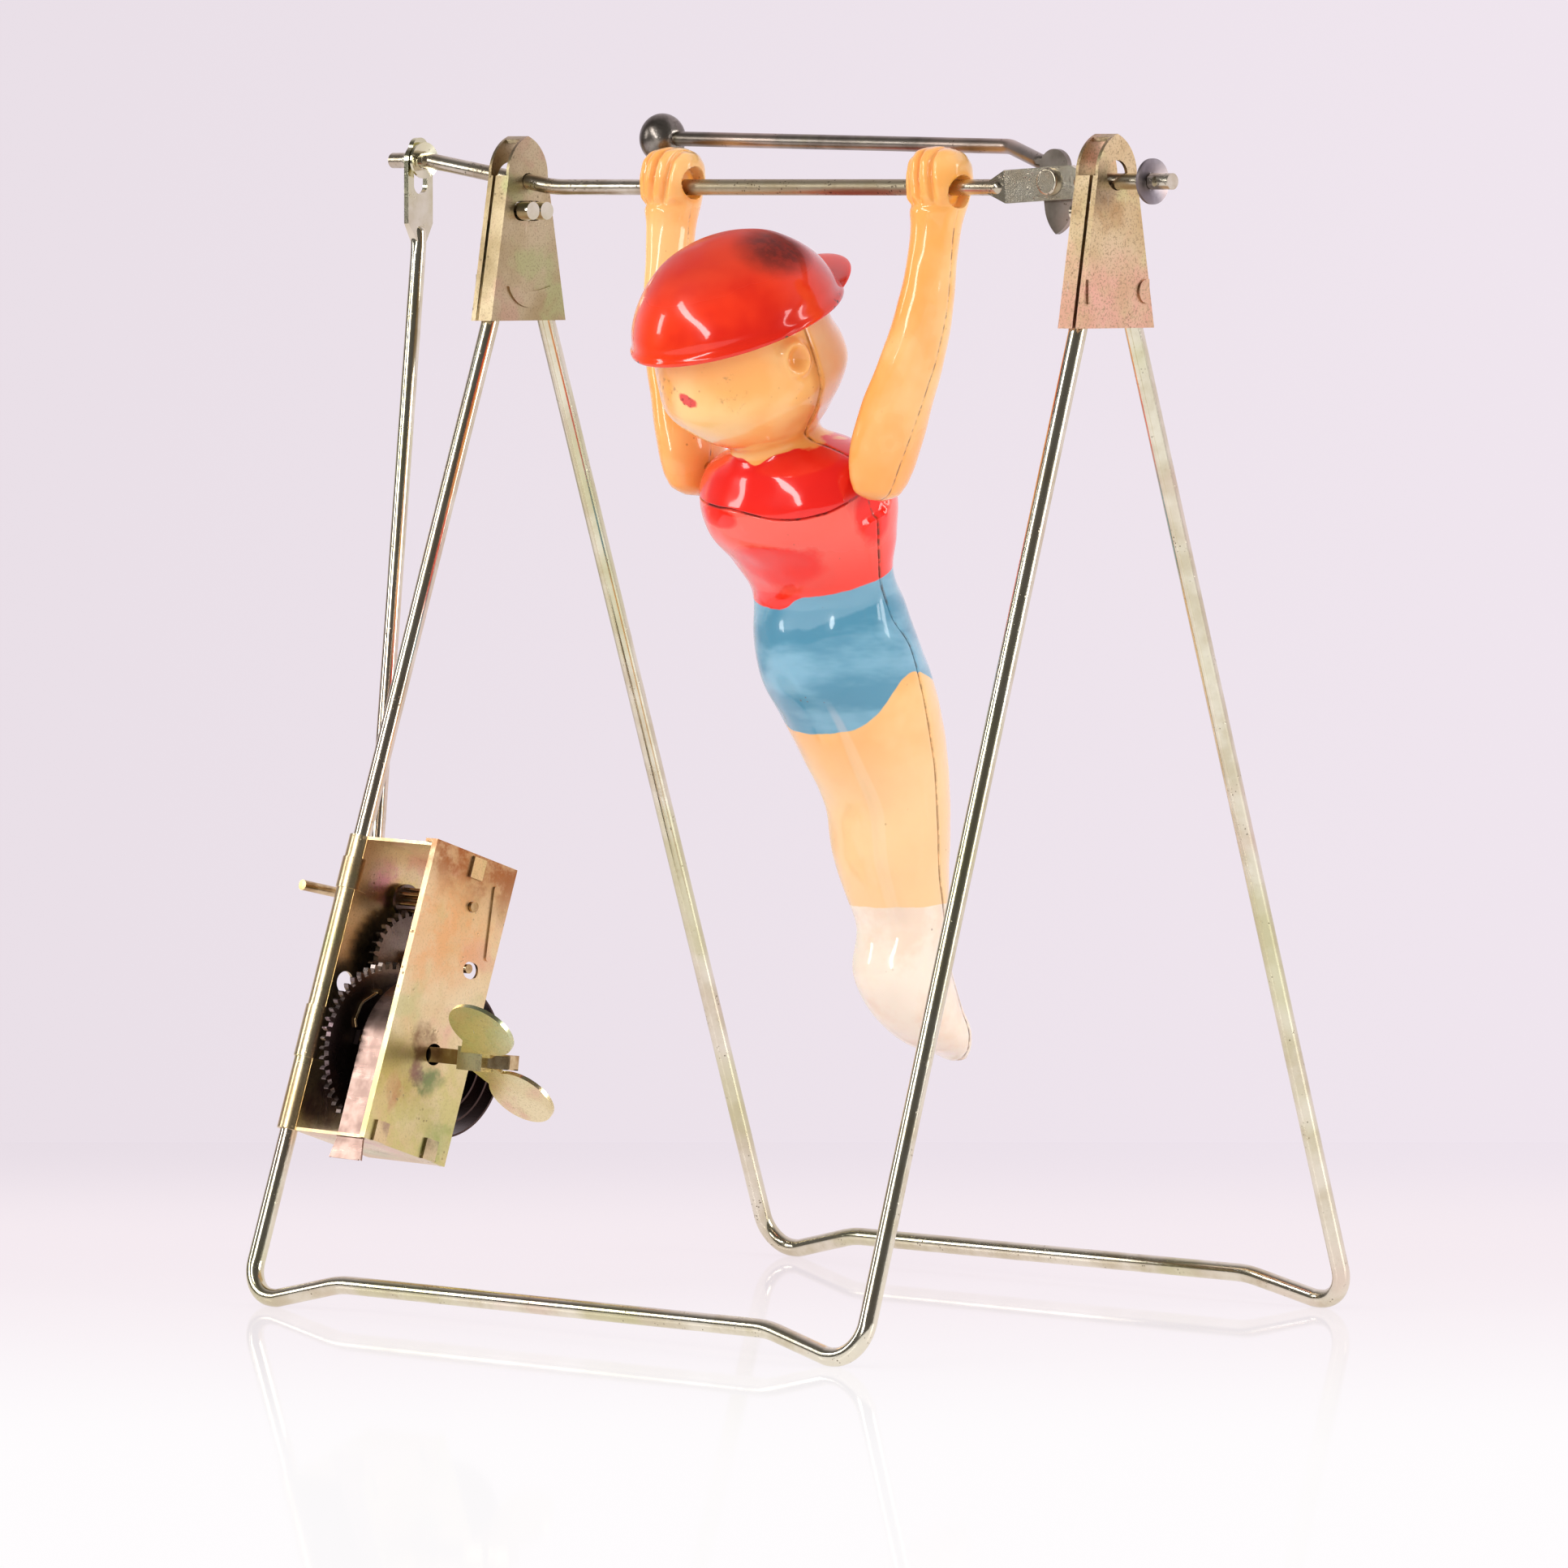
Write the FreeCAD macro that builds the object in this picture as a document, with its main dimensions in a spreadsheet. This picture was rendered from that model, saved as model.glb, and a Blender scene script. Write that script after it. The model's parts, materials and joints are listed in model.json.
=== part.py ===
import FreeCAD, Part
import math
import os
import Sketcher
from FreeCAD import Placement, Rotation, Vector

# Bar gymnast toy: a clockwork motor clamped on a folded wire stand turns a wire bar,
# and a jointed gymnast and a swinging counterweight tumble round with it.
# X runs along the bar, Y from the front legs to the rear legs, Z is up.
# The origin lies on the floor, under the middle of the whole toy. Millimetres.

doc = FreeCAD.newDocument("bar_gymnast_toy")
sheet = doc.addObject("Spreadsheet::Sheet", "Dimensions")
sheet_row = 0


def size(alias, value):
    """Keep one driving dimension in the sheet and hand its number back."""
    global sheet_row
    sheet_row += 1
    sheet.set("A%d" % sheet_row, alias)
    sheet.set("B%d" % sheet_row, "%g" % value)
    sheet.setAlias("B%d" % sheet_row, alias)
    return float(value)


# Stand: two bent wires, each with two legs, two feet and a raised rail between the feet
frame_dia = size("frame_dia", 3.4)
leg_top_half = size("leg_top_half", 76.1)
front_foot_half = size("front_foot_half", 79.6)
rear_foot_half = size("rear_foot_half", 75.3)
foot_reach = size("foot_reach", 67.8)
rail_rise = size("rail_rise", 3.6)
rail_inset = size("rail_inset", 24.0)
foot_length = size("foot_length", 8.0)
foot_bend = size("foot_bend", 6.5)
knee_height = size("knee_height", 183.7)
knee_reach = size("knee_reach", 7.4)
hook_height = size("hook_height", 204.6)
hook_reach = size("hook_reach", 1.85)
hook_stick_out = size("hook_stick_out", 3.2)
middle_shift = size("middle_shift", 9.1)

# Brackets: one folded sheet each, closed round the leg tops
bracket_sheet = size("bracket_sheet", 0.7)
bracket_depth = size("bracket_depth", 5.5)
bracket_half_foot = size("bracket_half_foot", 9.9)
bracket_half_shoulder = size("bracket_half_shoulder", 5.2)
bracket_bottom = size("bracket_bottom", 183.7)
bracket_shoulder = size("bracket_shoulder", 211.3)
bracket_top = size("bracket_top", 218.8)
bracket_bridge = size("bracket_bridge", 2.6)
seam_gap = size("seam_gap", 0.8)
seam_place = size("seam_place", 3.5)
hook_slot_width = size("hook_slot_width", 7.9)
hook_slot_height = size("hook_slot_height", 3.8)
rub_hole_dia = size("rub_hole_dia", 5.5)
throw_hole_dia = size("throw_hole_dia", 7.4)
emboss_height = size("emboss_height", 0.5)
tab_width = size("tab_width", 2.7)
tab_height = size("tab_height", 4.4)

# Bar: one wire, cranked at its left end and pressed flat where the counterweight is riveted
bar_dia = size("bar_dia", 3.0)
bar_height = size("bar_height", 210.2)
bar_sag = size("bar_sag", 1.1)
bar_throw = size("bar_throw", 4.0)
bar_left_end = size("bar_left_end", 110.5)
bar_right_end = size("bar_right_end", 92.3)
bar_flat_start = size("bar_flat_start", 49.5)
bar_flat_end = size("bar_flat_end", 70.0)
bar_flat_height = size("bar_flat_height", 6.1)
bar_flat_taper = size("bar_flat_taper", 4.0)
pressed_thick = size("pressed_thick", 1.2)
bearing_play = size("bearing_play", 0.12)
ear_span = size("ear_span", 4.3)
washer_dia = size("washer_dia", 8.3)
small_washer_dia = size("small_washer_dia", 7.0)
washer_thick = size("washer_thick", 0.6)

# Counterweight: a flat-ended wire arm on a rivet, with an egg-shaped ball
rivet_place = size("rivet_place", 62.6)
rivet_head_dia = size("rivet_head_dia", 5.0)
rivet_head_thick = size("rivet_head_thick", 1.0)
rivet_dia = size("rivet_dia", 2.4)
arm_plate_thick = size("arm_plate_thick", 1.1)
arm_rod_dia = size("arm_rod_dia", 2.8)
arm_rod_offset = size("arm_rod_offset", 6.8)
ball_reach = size("ball_reach", 44.0)
ball_height = size("ball_height", 218.3)
ball_width = size("ball_width", 8.8)
ball_length = size("ball_length", 9.5)

# Connecting rod: wire with a pressed eye at each end, the upper one slotted
rod_dia = size("rod_dia", 3.0)
rod_eye_width = size("rod_eye_width", 6.5)
rod_eye_taper = size("rod_eye_taper", 3.6)
rod_slot_length = size("rod_slot_length", 8.4)
rod_slot_width = size("rod_slot_width", 3.5)
rod_eye_plane = size("rod_eye_plane", 103.6)

# Motor: two sheet plates, toothed wheels, mainspring, winding arbor and key
motor_drop = size("motor_drop", 159.7)
motor_height = size("motor_height", 57.4)
motor_width = size("motor_width", 20.7)
motor_front_edge = size("motor_front_edge", 0.7)
motor_depth = size("motor_depth", 21.9)
motor_sheet = size("motor_sheet", 0.6)
lug_lengths = [(14.0, 24.0), (47.0, 53.0)]
tab_places = [(10.2, motor_height), (2.2, 0.0), (15.6, 0.0)]
tab_half = size("tab_half", 1.6)
tab_bend = size("tab_bend", 4.0)
sight_y = size("sight_y", 2.6)
sight_z = size("sight_z", 29.7)
rim_depth = size("rim_depth", 0.8)
gear_module = size("gear_module", 0.6)
great_teeth = size("great_teeth", 53)
second_teeth = size("second_teeth", 32)
pinion_leaves = size("pinion_leaves", 7)
lantern_y = size("lantern_y", 11.45)
lantern_z = size("lantern_z", 48.3)
second_y = size("second_y", 14.5)
great_y = size("great_y", 11.0)
wheel_thick = size("wheel_thick", 1.2)
great_plane = size("great_plane", 8.0)
second_plane = size("second_plane", 5.0)
lantern_start = size("lantern_start", 3.4)
lantern_length = size("lantern_length", 8.7)
lantern_pin_dia = size("lantern_pin_dia", 0.76)
lantern_disc_dia = size("lantern_disc_dia", 6.2)
lantern_disc_thick = size("lantern_disc_thick", 0.7)
arbor_dia = size("arbor_dia", 3.0)
pivot_dia = size("pivot_dia", 1.8)
crank_wire_dia = size("crank_wire_dia", 2.0)
key_square = size("key_square", 2.8)
key_stick_out = size("key_stick_out", 21.7)
spring_width = size("spring_width", 7.1)
spring_thick = size("spring_thick", 0.4)
spring_start = size("spring_start", 13.2)
spring_inner = size("spring_inner", 3.2)
spring_pitch = size("spring_pitch", 2.9)
spring_left_reach = size("spring_left_reach", 10.6)
spring_turns = size("spring_turns", 6)
spring_tail = size("spring_tail", 4.2)
ratchet_teeth = size("ratchet_teeth", 12)
ratchet_radius = size("ratchet_radius", 4.6)
ratchet_depth = size("ratchet_depth", 0.8)
ratchet_thick = size("ratchet_thick", 1.2)
key_sheet = size("key_sheet", 0.8)
key_hub_start = size("key_hub_start", 8.6)
key_hub_length = size("key_hub_length", 6.6)
key_wing_length = size("key_wing_length", 15.0)
key_wing_width = size("key_wing_width", 12.2)
key_wing_place = size("key_wing_place", 18.6)
key_wing_reach = size("key_wing_reach", 8.4)
key_turn = size("key_turn", 12.4)
base_sight_dia = size("base_sight_dia", 4.2)
base_crank_hole = size("base_crank_hole", crank_wire_dia + 0.16)
pivot_hole = size("pivot_hole", pivot_dia + 0.12)
arbor_hole = size("arbor_hole", arbor_dia + 0.12)
key_hole_dia = size("key_hole_dia", 4.12)
great_bore = size("great_bore", arbor_dia + 0.12)
click_bore = size("click_bore", 1.3)

# Gymnast: two moulded body halves hung on a pin between two arms
shoulder_height = size("shoulder_height", 156.7)
shoulder_reach = size("shoulder_reach", -5.0)
shoulder_half = size("shoulder_half", 23.8)
hand_half = size("hand_half", 34.4)
body_lean = size("body_lean", 22.0)
shoulder_pin_dia = size("shoulder_pin_dia", 2.4)
shoulder_flat_half = size("shoulder_flat_half", 18.5)
shoulder_flat_dia = size("shoulder_flat_dia", 18.6)
fist_half = size("fist_half", 5.4)
hand_hollow_dia = size("hand_hollow_dia", 5.2)
hand_hollow_depth = size("hand_hollow_depth", 2.4)
shoulder_bore_dia = size("shoulder_bore_dia", shoulder_pin_dia + 0.16)
cap_rim_height = size("cap_rim_height", 30.3)
peak_width = size("peak_width", 28.0)
peak_reach = size("peak_reach", 29.8)
peak_thick = size("peak_thick", 1.4)
crease_height = size("crease_height", -3.3)
crease_width = size("crease_width", 0.35)
crease_half = size("crease_half", 19.1)
crease_half_depth = size("crease_half_depth", 14.6)
crease_centre = size("crease_centre", 0.7)
ear_height = size("ear_height", 24.0)
ear_half = size("ear_half", 16.9)
ear_length = size("ear_length", 6.8)
ear_width = size("ear_width", 4.6)
ear_stick_out = size("ear_stick_out", 1.6)
clear_reach = size("clear_reach", 60.0)

doc.recompute()


def bound(name):
    """The expression that reads a named dimension from the sheet."""
    return "Dimensions." + name


def at(x, y, z):
    """A point of the toy, measured along the bar from the middle of the stand."""
    return Vector(x + middle_shift, y, z)


def new_body(label):
    body = doc.addObject("PartDesign::Body", label)
    body.Label = label
    return body


def sketch_on(body, role, offset=0.0):
    """A sketch on one of the body's own planes, moved along the plane's normal."""
    for item in body.Origin.OriginFeatures:
        if item.Role == role:
            plane = item
    sketch = body.newObject("Sketcher::SketchObject", body.Name + "_sketch")
    sketch.AttachmentSupport = (plane, [""])
    sketch.MapMode = "FlatFace"
    sketch.AttachmentOffset = Placement(Vector(0, 0, offset), Rotation())
    return sketch


def add_circle(sketch, x, y, diameter):
    """A circle whose radius is half of a dimension in the sheet."""
    radius = sheet.get(diameter) / 2
    edge = sketch.addGeometry(Part.Circle(Vector(x, y, 0), Vector(0, 0, 1), radius), False)
    mark = sketch.addConstraint(Sketcher.Constraint("Radius", edge, radius))
    sketch.setExpression("Constraints[%d]" % mark, bound(diameter) + " / 2")


def add_loop(sketch, corners):
    """A closed outline of straight edges through the corners given as (x, y)."""
    points = [Vector(x, y, 0) for x, y in corners]
    for start, end in zip(points, points[1:] + points[:1]):
        sketch.addGeometry(Part.LineSegment(start, end), False)


def add_square(sketch, half):
    add_loop(sketch, [(-half, -half), (half, -half), (half, half), (-half, half)])


def add_ellipse(sketch, x, y, half_x, half_y):
    centre = Vector(x, y, 0)
    along_x = Vector(x + half_x, y, 0)
    along_y = Vector(x, y + half_y, 0)
    major, minor = (along_x, along_y) if half_x >= half_y else (along_y, along_x)
    sketch.addGeometry(Part.Ellipse(major, minor, centre), False)


def add_oval(sketch, x, y, half_x, half_y, pinch=0.0):
    """A smooth closed outline through eight points from the +x side; a pinch draws its middle in."""
    corner = math.sqrt(0.5)
    middle = 1 - pinch
    spots = [(1, 0), (corner, corner), (0, middle), (-corner, corner),
             (-1, 0), (-corner, -corner), (0, -middle), (corner, -corner)]
    points = [Vector(x + u * half_x, y + v * half_y, 0) for u, v in spots]
    curve = Part.BSplineCurve()
    curve.interpolate(points, PeriodicFlag=True, Parameters=[float(count) for count in range(len(points) + 1)])
    sketch.addGeometry(curve, False)


def add_slot(sketch, start, end, width):
    """An outline with two straight sides and two half-round ends about start and end, given as (x, y)."""
    first = Vector(start[0], start[1], 0)
    last = Vector(end[0], end[1], 0)
    along = (last - first).normalize() * (width / 2)
    across = Vector(-along.y, along.x, 0)
    sketch.addGeometry(Part.LineSegment(first - across, last - across), False)
    sketch.addGeometry(Part.Arc(last - across, last + along, last + across), False)
    sketch.addGeometry(Part.LineSegment(last + across, first + across), False)
    sketch.addGeometry(Part.Arc(first + across, first - along, first - across), False)


def pad(body, sketch, length, backwards=False):
    feature = body.newObject("PartDesign::Pad", body.Name + "_pad")
    feature.Profile = sketch
    feature.Reversed = backwards
    feature.setExpression("Length", length)
    doc.recompute()
    return feature


def pocket(body, sketch, length, along_normal=True):
    """Cut a sketch's area out of the body, and stop if nothing is cut."""
    before = body.Shape.Volume
    feature = body.newObject("PartDesign::Pocket", body.Name + "_pocket")
    feature.Profile = sketch
    feature.Reversed = along_normal
    feature.setExpression("Length", length)
    doc.recompute()
    if body.Shape.Volume > before - 1e-6:
        raise RuntimeError("a pocket cuts nothing in " + body.Label)
    return feature


def ring_pattern(body, feature, axis_role, count):
    """Repeat a feature evenly round one of the body's own axes."""
    for item in body.Origin.OriginFeatures:
        if item.Role == axis_role:
            axis = item
    pattern = body.newObject("PartDesign::PolarPattern", body.Name + "_ring")
    pattern.Originals = [feature]
    pattern.Axis = (axis, [""])
    pattern.Angle = 360
    pattern.setExpression("Occurrences", count)
    body.Tip = pattern
    doc.recompute()
    return pattern


def loft(body, sketches, ruled=False):
    feature = body.newObject("PartDesign::AdditiveLoft", body.Name + "_loft")
    feature.Profile = sketches[0]
    feature.Sections = sketches[1:]
    feature.Ruled = ruled
    doc.recompute()
    return feature


def shaped(label, shape, placement):
    """A sub-part whose form is worked out in code, put in its place afterwards."""
    piece = doc.addObject("Part::Feature", label)
    piece.Label = label
    piece.Shape = shape
    piece.Placement = placement
    return piece


def bent_path(points, bends):
    """Straight runs joined by tangent arcs, one bend radius for each inner point."""
    edges = []
    start = points[0]
    for before, corner, after, radius in zip(points, points[1:], points[2:], bends):
        back = (before - corner).normalize()
        ahead = (after - corner).normalize()
        half_angle = back.getAngle(ahead) / 2
        trim = radius / math.tan(half_angle)
        middle = (back + ahead).normalize()
        centre = corner + middle * (radius / math.sin(half_angle))
        enter = corner + back * trim
        leave = corner + ahead * trim
        edges.append(Part.LineSegment(start, enter).toShape())
        edges.append(Part.Arc(enter, centre - middle * radius, leave).toShape())
        start = leave
    edges.append(Part.LineSegment(start, points[-1]).toShape())
    return Part.Wire(edges)


def wire_solid(path, diameter):
    """Round wire swept along a path, with its volume compared."""
    first = path.OrderedEdges[0]
    start = first.Vertexes[0].Point
    direction = first.tangentAt(first.FirstParameter)
    profile = Part.Wire([Part.makeCircle(diameter / 2, start, direction)])
    solid = path.makePipeShell([profile], True, False)
    expected = math.pi * diameter ** 2 / 4 * path.Length
    if abs(solid.Volume - expected) > 0.01 * expected:
        raise RuntimeError("a swept wire has the wrong volume")
    return solid


def extruded(edges, direction):
    return Part.Face(Part.Wire(edges)).extrude(direction)


def pressed_strip(start, along, tall, tapers, length, half_tall):
    """A flat pressed run of a wire: two extruded outlines, seen from the side and from the edge, intersected."""
    root = bar_dia / 2 * 0.7
    first, last = tapers
    total = first + length + last

    def outline(half, upright):
        steps = [(0, root), (first, half), (first + length, half)]
        if last > 0:
            steps.append((total, root))
        ring = steps + [(x, -u) for x, u in reversed(steps)]
        points = [Vector(x, 0, u) if upright else Vector(x, u, 0) for x, u in ring]
        return [Part.LineSegment(p, q).toShape() for p, q in zip(points, points[1:] + points[:1])]

    reach = 2 * half_tall
    seen_from_side = extruded(outline(half_tall, True), Vector(0, 2 * reach, 0))
    seen_from_side.translate(Vector(0, -reach, 0))
    seen_from_edge = extruded(outline(pressed_thick / 2, False), Vector(0, 0, 2 * reach))
    seen_from_edge.translate(Vector(0, 0, -reach))
    strip = seen_from_side.common(seen_from_edge)
    side = Vector(tall).cross(along).normalize()
    strip.Placement = Placement(start, Rotation(Vector(along), side, Vector(tall), "XZY"))
    return strip


def domed(centre, diameter):
    """The round end of a wire where it passes into a pressed run."""
    return Part.makeSphere(diameter / 2, centre)


# Stand


def frame_wire(label, foot_half, side):
    """One stand wire: hook, leg, foot, raised rail, foot, leg and hook, in one run."""
    centre_line = frame_dia / 2
    lean = (foot_reach - knee_reach) / (knee_height - centre_line)

    def y_at(z):
        return side * (knee_reach + lean * (knee_height - z))

    half = []
    half.append(Vector(leg_top_half - bracket_depth / 2 - hook_stick_out, side * hook_reach, hook_height))
    half.append(Vector(leg_top_half, side * hook_reach, hook_height))
    half.append(Vector(leg_top_half, y_at(knee_height), knee_height))
    half.append(Vector(foot_half, y_at(centre_line), centre_line))
    half.append(Vector(foot_half - foot_length, y_at(centre_line), centre_line))
    rail_height = centre_line + rail_rise
    half.append(Vector(foot_half - rail_inset, y_at(rail_height), rail_height))
    mirrored = [Vector(-p.x, p.y, p.z) for p in half]
    points = mirrored + half[::-1]
    hook_bend = frame_dia * 0.75
    knee_bend = 30.0
    sole_bend = foot_length * 0.7
    rail_bend = rail_inset * 0.8
    bends = [hook_bend, knee_bend, foot_bend, 4.0, rail_bend]
    bends = bends + bends[::-1]
    path = bent_path(points, bends)
    shaped(label, wire_solid(path, frame_dia), Placement(at(0, 0, 0), Rotation()))


def bracket_outline(sketch, inset, bottom_drop=0.0, half_extra=0.0):
    """Tapered sides and a pointed round top, drawn inside the true outline by inset."""
    foot = bracket_half_foot - inset + half_extra
    shoulder = bracket_half_shoulder - inset
    top = bracket_top - inset
    low = bracket_bottom - bottom_drop
    rise = top - bracket_shoulder
    p = [Vector(-foot, low, 0), Vector(foot, low, 0), Vector(shoulder, bracket_shoulder, 0),
         Vector(0, top, 0), Vector(-shoulder, bracket_shoulder, 0)]
    bulge = Vector(shoulder * 0.72, bracket_shoulder + rise * 0.62, 0)
    sketch.addGeometry(Part.LineSegment(p[0], p[1]), False)
    sketch.addGeometry(Part.LineSegment(p[1], p[2]), False)
    sketch.addGeometry(Part.Arc(p[2], bulge, p[3]), False)
    sketch.addGeometry(Part.Arc(p[3], Vector(-bulge.x, bulge.y, 0), p[4]), False)
    sketch.addGeometry(Part.LineSegment(p[4], p[0]), False)


def bracket(label, outer_hole, outer_hole_height):
    """A right-hand bracket seen from its inner plate, which faces the bar at x = 0."""
    body = new_body(label)
    outline = sketch_on(body, "YZ_Plane")
    bracket_outline(outline, 0.0)
    pad(body, outline, bound("bracket_depth"))
    cavity = sketch_on(body, "YZ_Plane", bracket_sheet)
    bracket_outline(cavity, bracket_sheet, 1.0)
    pocket(body, cavity, bound("bracket_depth") + " - 2 * " + bound("bracket_sheet"))
    open_side = sketch_on(body, "YZ_Plane", bracket_sheet)
    for side in (-1, 1):
        add_loop(open_side, [(side * bracket_bridge / 2, bracket_shoulder), (side * 9, bracket_shoulder),
                             (side * 9, bracket_top + 1), (side * bracket_bridge / 2, bracket_top + 1)])
    pocket(body, open_side, bound("bracket_depth") + " - 2 * " + bound("bracket_sheet"))
    seam = sketch_on(body, "YZ_Plane", seam_place)
    for side in (-1, 1):
        add_loop(seam, [(side * 3, bracket_bottom - 1), (side * 12, bracket_bottom - 1),
                        (side * 12, bracket_shoulder + 1), (side * 3, bracket_shoulder + 1)])
    pocket(body, seam, bound("seam_gap"))
    inner_holes = sketch_on(body, "YZ_Plane", -0.1)
    slot_reach = (hook_slot_width - hook_slot_height) / 2
    add_slot(inner_holes, (-slot_reach, hook_height), (slot_reach, hook_height), hook_slot_height)
    bearing = sheet.get("bar_dia") / 2 + bearing_play
    edge = inner_holes.addGeometry(Part.Circle(Vector(0, bar_height, 0), Vector(0, 0, 1), bearing), False)
    mark = inner_holes.addConstraint(Sketcher.Constraint("Radius", edge, bearing))
    inner_holes.setExpression("Constraints[%d]" % mark, bound("bar_dia") + " / 2 + " + bound("bearing_play"))
    pocket(body, inner_holes, bound("bracket_sheet") + " + 0.2")
    outer = sketch_on(body, "YZ_Plane", bracket_depth - bracket_sheet - 0.1)
    add_circle(outer, 0, outer_hole_height, outer_hole)
    pocket(body, outer, bound("bracket_sheet") + " + 0.2")
    smile = sketch_on(body, "YZ_Plane", 0.05)
    add_smile(smile)
    pad(body, smile, bound("emboss_height"), True)
    tabs = sketch_on(body, "YZ_Plane", bracket_depth - 0.05)
    add_tabs(tabs)
    pad(body, tabs, bound("emboss_height"))
    return body


def add_smile(sketch):
    """A crescent with its ends up, pressed out of the inner plate."""
    half_span = 5.6
    ends = bracket_bottom + 6.6
    left = Vector(-half_span, ends, 0)
    right = Vector(half_span, ends, 0)
    sketch.addGeometry(Part.Arc(left, Vector(0, ends - 4.1, 0), right), False)
    sketch.addGeometry(Part.Arc(right, Vector(0, ends - 1.0, 0), left), False)


def add_tabs(sketch):
    """Two half-round tabs bent over the outer plate near its lower corners."""
    middle = bracket_bottom + 6.6
    for side in (-1, 1):
        root = side * (bracket_half_foot - 1.75)
        tip = root - side * tab_width
        top = Vector(root, middle + tab_height / 2, 0)
        low = Vector(root, middle - tab_height / 2, 0)
        sketch.addGeometry(Part.Arc(low, Vector(tip, middle, 0), top), False)
        sketch.addGeometry(Part.LineSegment(top, low), False)


def brackets():
    right = bracket("right_bracket", "rub_hole_dia", bar_height + 1.1)
    inner_face = leg_top_half - bracket_depth / 2
    right.Placement = Placement(at(inner_face, 0, 0), Rotation())
    left = bracket("left_bracket", "throw_hole_dia", bar_height)
    left.Placement = Placement(at(-inner_face, 0, 0), Rotation(Vector(0, 0, 1), 180))


# Bar


def ears(centre, along, height):
    """Wire nipped into two side ears that keep a washer on."""
    body = Part.makeBox(along, ear_span, height, Vector(-along / 2, -ear_span / 2, -height / 2))
    body = body.makeFillet(height * 0.3, [edge for edge in body.Edges if abs(edge.tangentAt(0).x) > 0.9])
    body.translate(centre)
    return body


def bar_wire():
    """Crank end, slant, sagging middle, flat riveted part and right end in one wire."""
    pin = bar_height + bar_throw
    low = bar_height - bar_sag
    inner = leg_top_half - bracket_depth / 2
    bearing_mid = inner + bracket_sheet / 2
    slant_end = rod_eye_plane - 3.0
    slant = bar_throw / (slant_end - bearing_mid)
    dip = bearing_mid - bar_sag / slant
    left_points = [Vector(-bar_left_end, 0, pin), Vector(-slant_end, 0, pin),
                   Vector(-dip, 0, low), Vector(bar_flat_start, 0, low)]
    left = wire_solid(bent_path(left_points, [14.0, 40.0]), bar_dia)
    flat_length = bar_flat_end - bar_flat_start
    rise = math.atan2(bar_sag, flat_length)
    along = Vector(math.cos(rise), 0, math.sin(rise))
    tall = Vector(-math.sin(rise), 0, math.cos(rise))
    strip_start = Vector(bar_flat_start, 0, low) - along * bar_flat_taper / 2
    straight = flat_length / math.cos(rise) - bar_flat_taper
    tapers = (bar_flat_taper, bar_flat_taper)
    strip = pressed_strip(strip_start, along, tall, tapers, straight, bar_flat_height / 2)
    right = Part.makeCylinder(bar_dia / 2, bar_right_end - bar_flat_end, Vector(bar_flat_end, 0, bar_height),
                              Vector(1, 0, 0))
    solid = left.fuse([strip, right, domed(Vector(bar_flat_start, 0, low), bar_dia),
                       domed(Vector(bar_flat_end, 0, bar_height), bar_dia)])
    ear_height = bar_dia * 0.62
    for x, z in ((-rod_eye_plane + 2.6, pin), (-rod_eye_plane - 1.6, pin), (88.6, bar_height)):
        solid = solid.fuse(ears(Vector(x, 0, z), 1.3, ear_height))
    rivet_hole = Part.makeCylinder(rivet_dia / 2, 4, Vector(rivet_place, -2, bar_height), Vector(0, 1, 0))
    solid = solid.cut(rivet_hole).removeSplitter()
    shaped("bar_wire", solid, Placement(at(0, 0, 0), Rotation()))


def washer(label, outer, place, dish):
    """A thin dished ring turned about the bar's own line."""
    body = new_body(label)
    profile = sketch_on(body, "XZ_Plane")
    inner = bar_dia / 2 + 0.1
    rim = sheet.get(outer) / 2
    add_loop(profile, [(0, inner), (washer_thick, inner), (washer_thick + dish, rim), (dish, rim)])
    turn = body.newObject("PartDesign::Revolution", label + "_turn")
    turn.Profile = profile
    for item in body.Origin.OriginFeatures:
        if item.Role == "X_Axis":
            turn.ReferenceAxis = (item, [""])
    turn.Angle = 360
    doc.recompute()
    body.Placement = Placement(place, Rotation())


def weight_rivet():
    """Domed head in front of the flat bar, shank, and a clenched tail behind the arm."""
    tail = 0.6
    through = pressed_thick + arm_plate_thick + 0.2
    head = Part.makeCylinder(rivet_head_dia / 2, rivet_head_thick)
    rim = [edge for edge in head.Edges if edge.BoundBox.ZMin > rivet_head_thick / 2 and edge.isClosed()]
    head = head.makeFillet(rivet_head_thick * 0.45, rim)
    shank = Part.makeCylinder(rivet_dia / 2, through, Vector(0, 0, -through))
    clench = Part.makeCylinder(rivet_dia * 0.75, tail, Vector(0, 0, -through - tail))
    solid = head.fuse([shank, clench]).removeSplitter()
    place = at(rivet_place, -pressed_thick / 2, bar_height)
    shaped("weight_rivet", solid, Placement(place, Rotation(Vector(1, 0, 0), 90)))


# Counterweight


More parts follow.
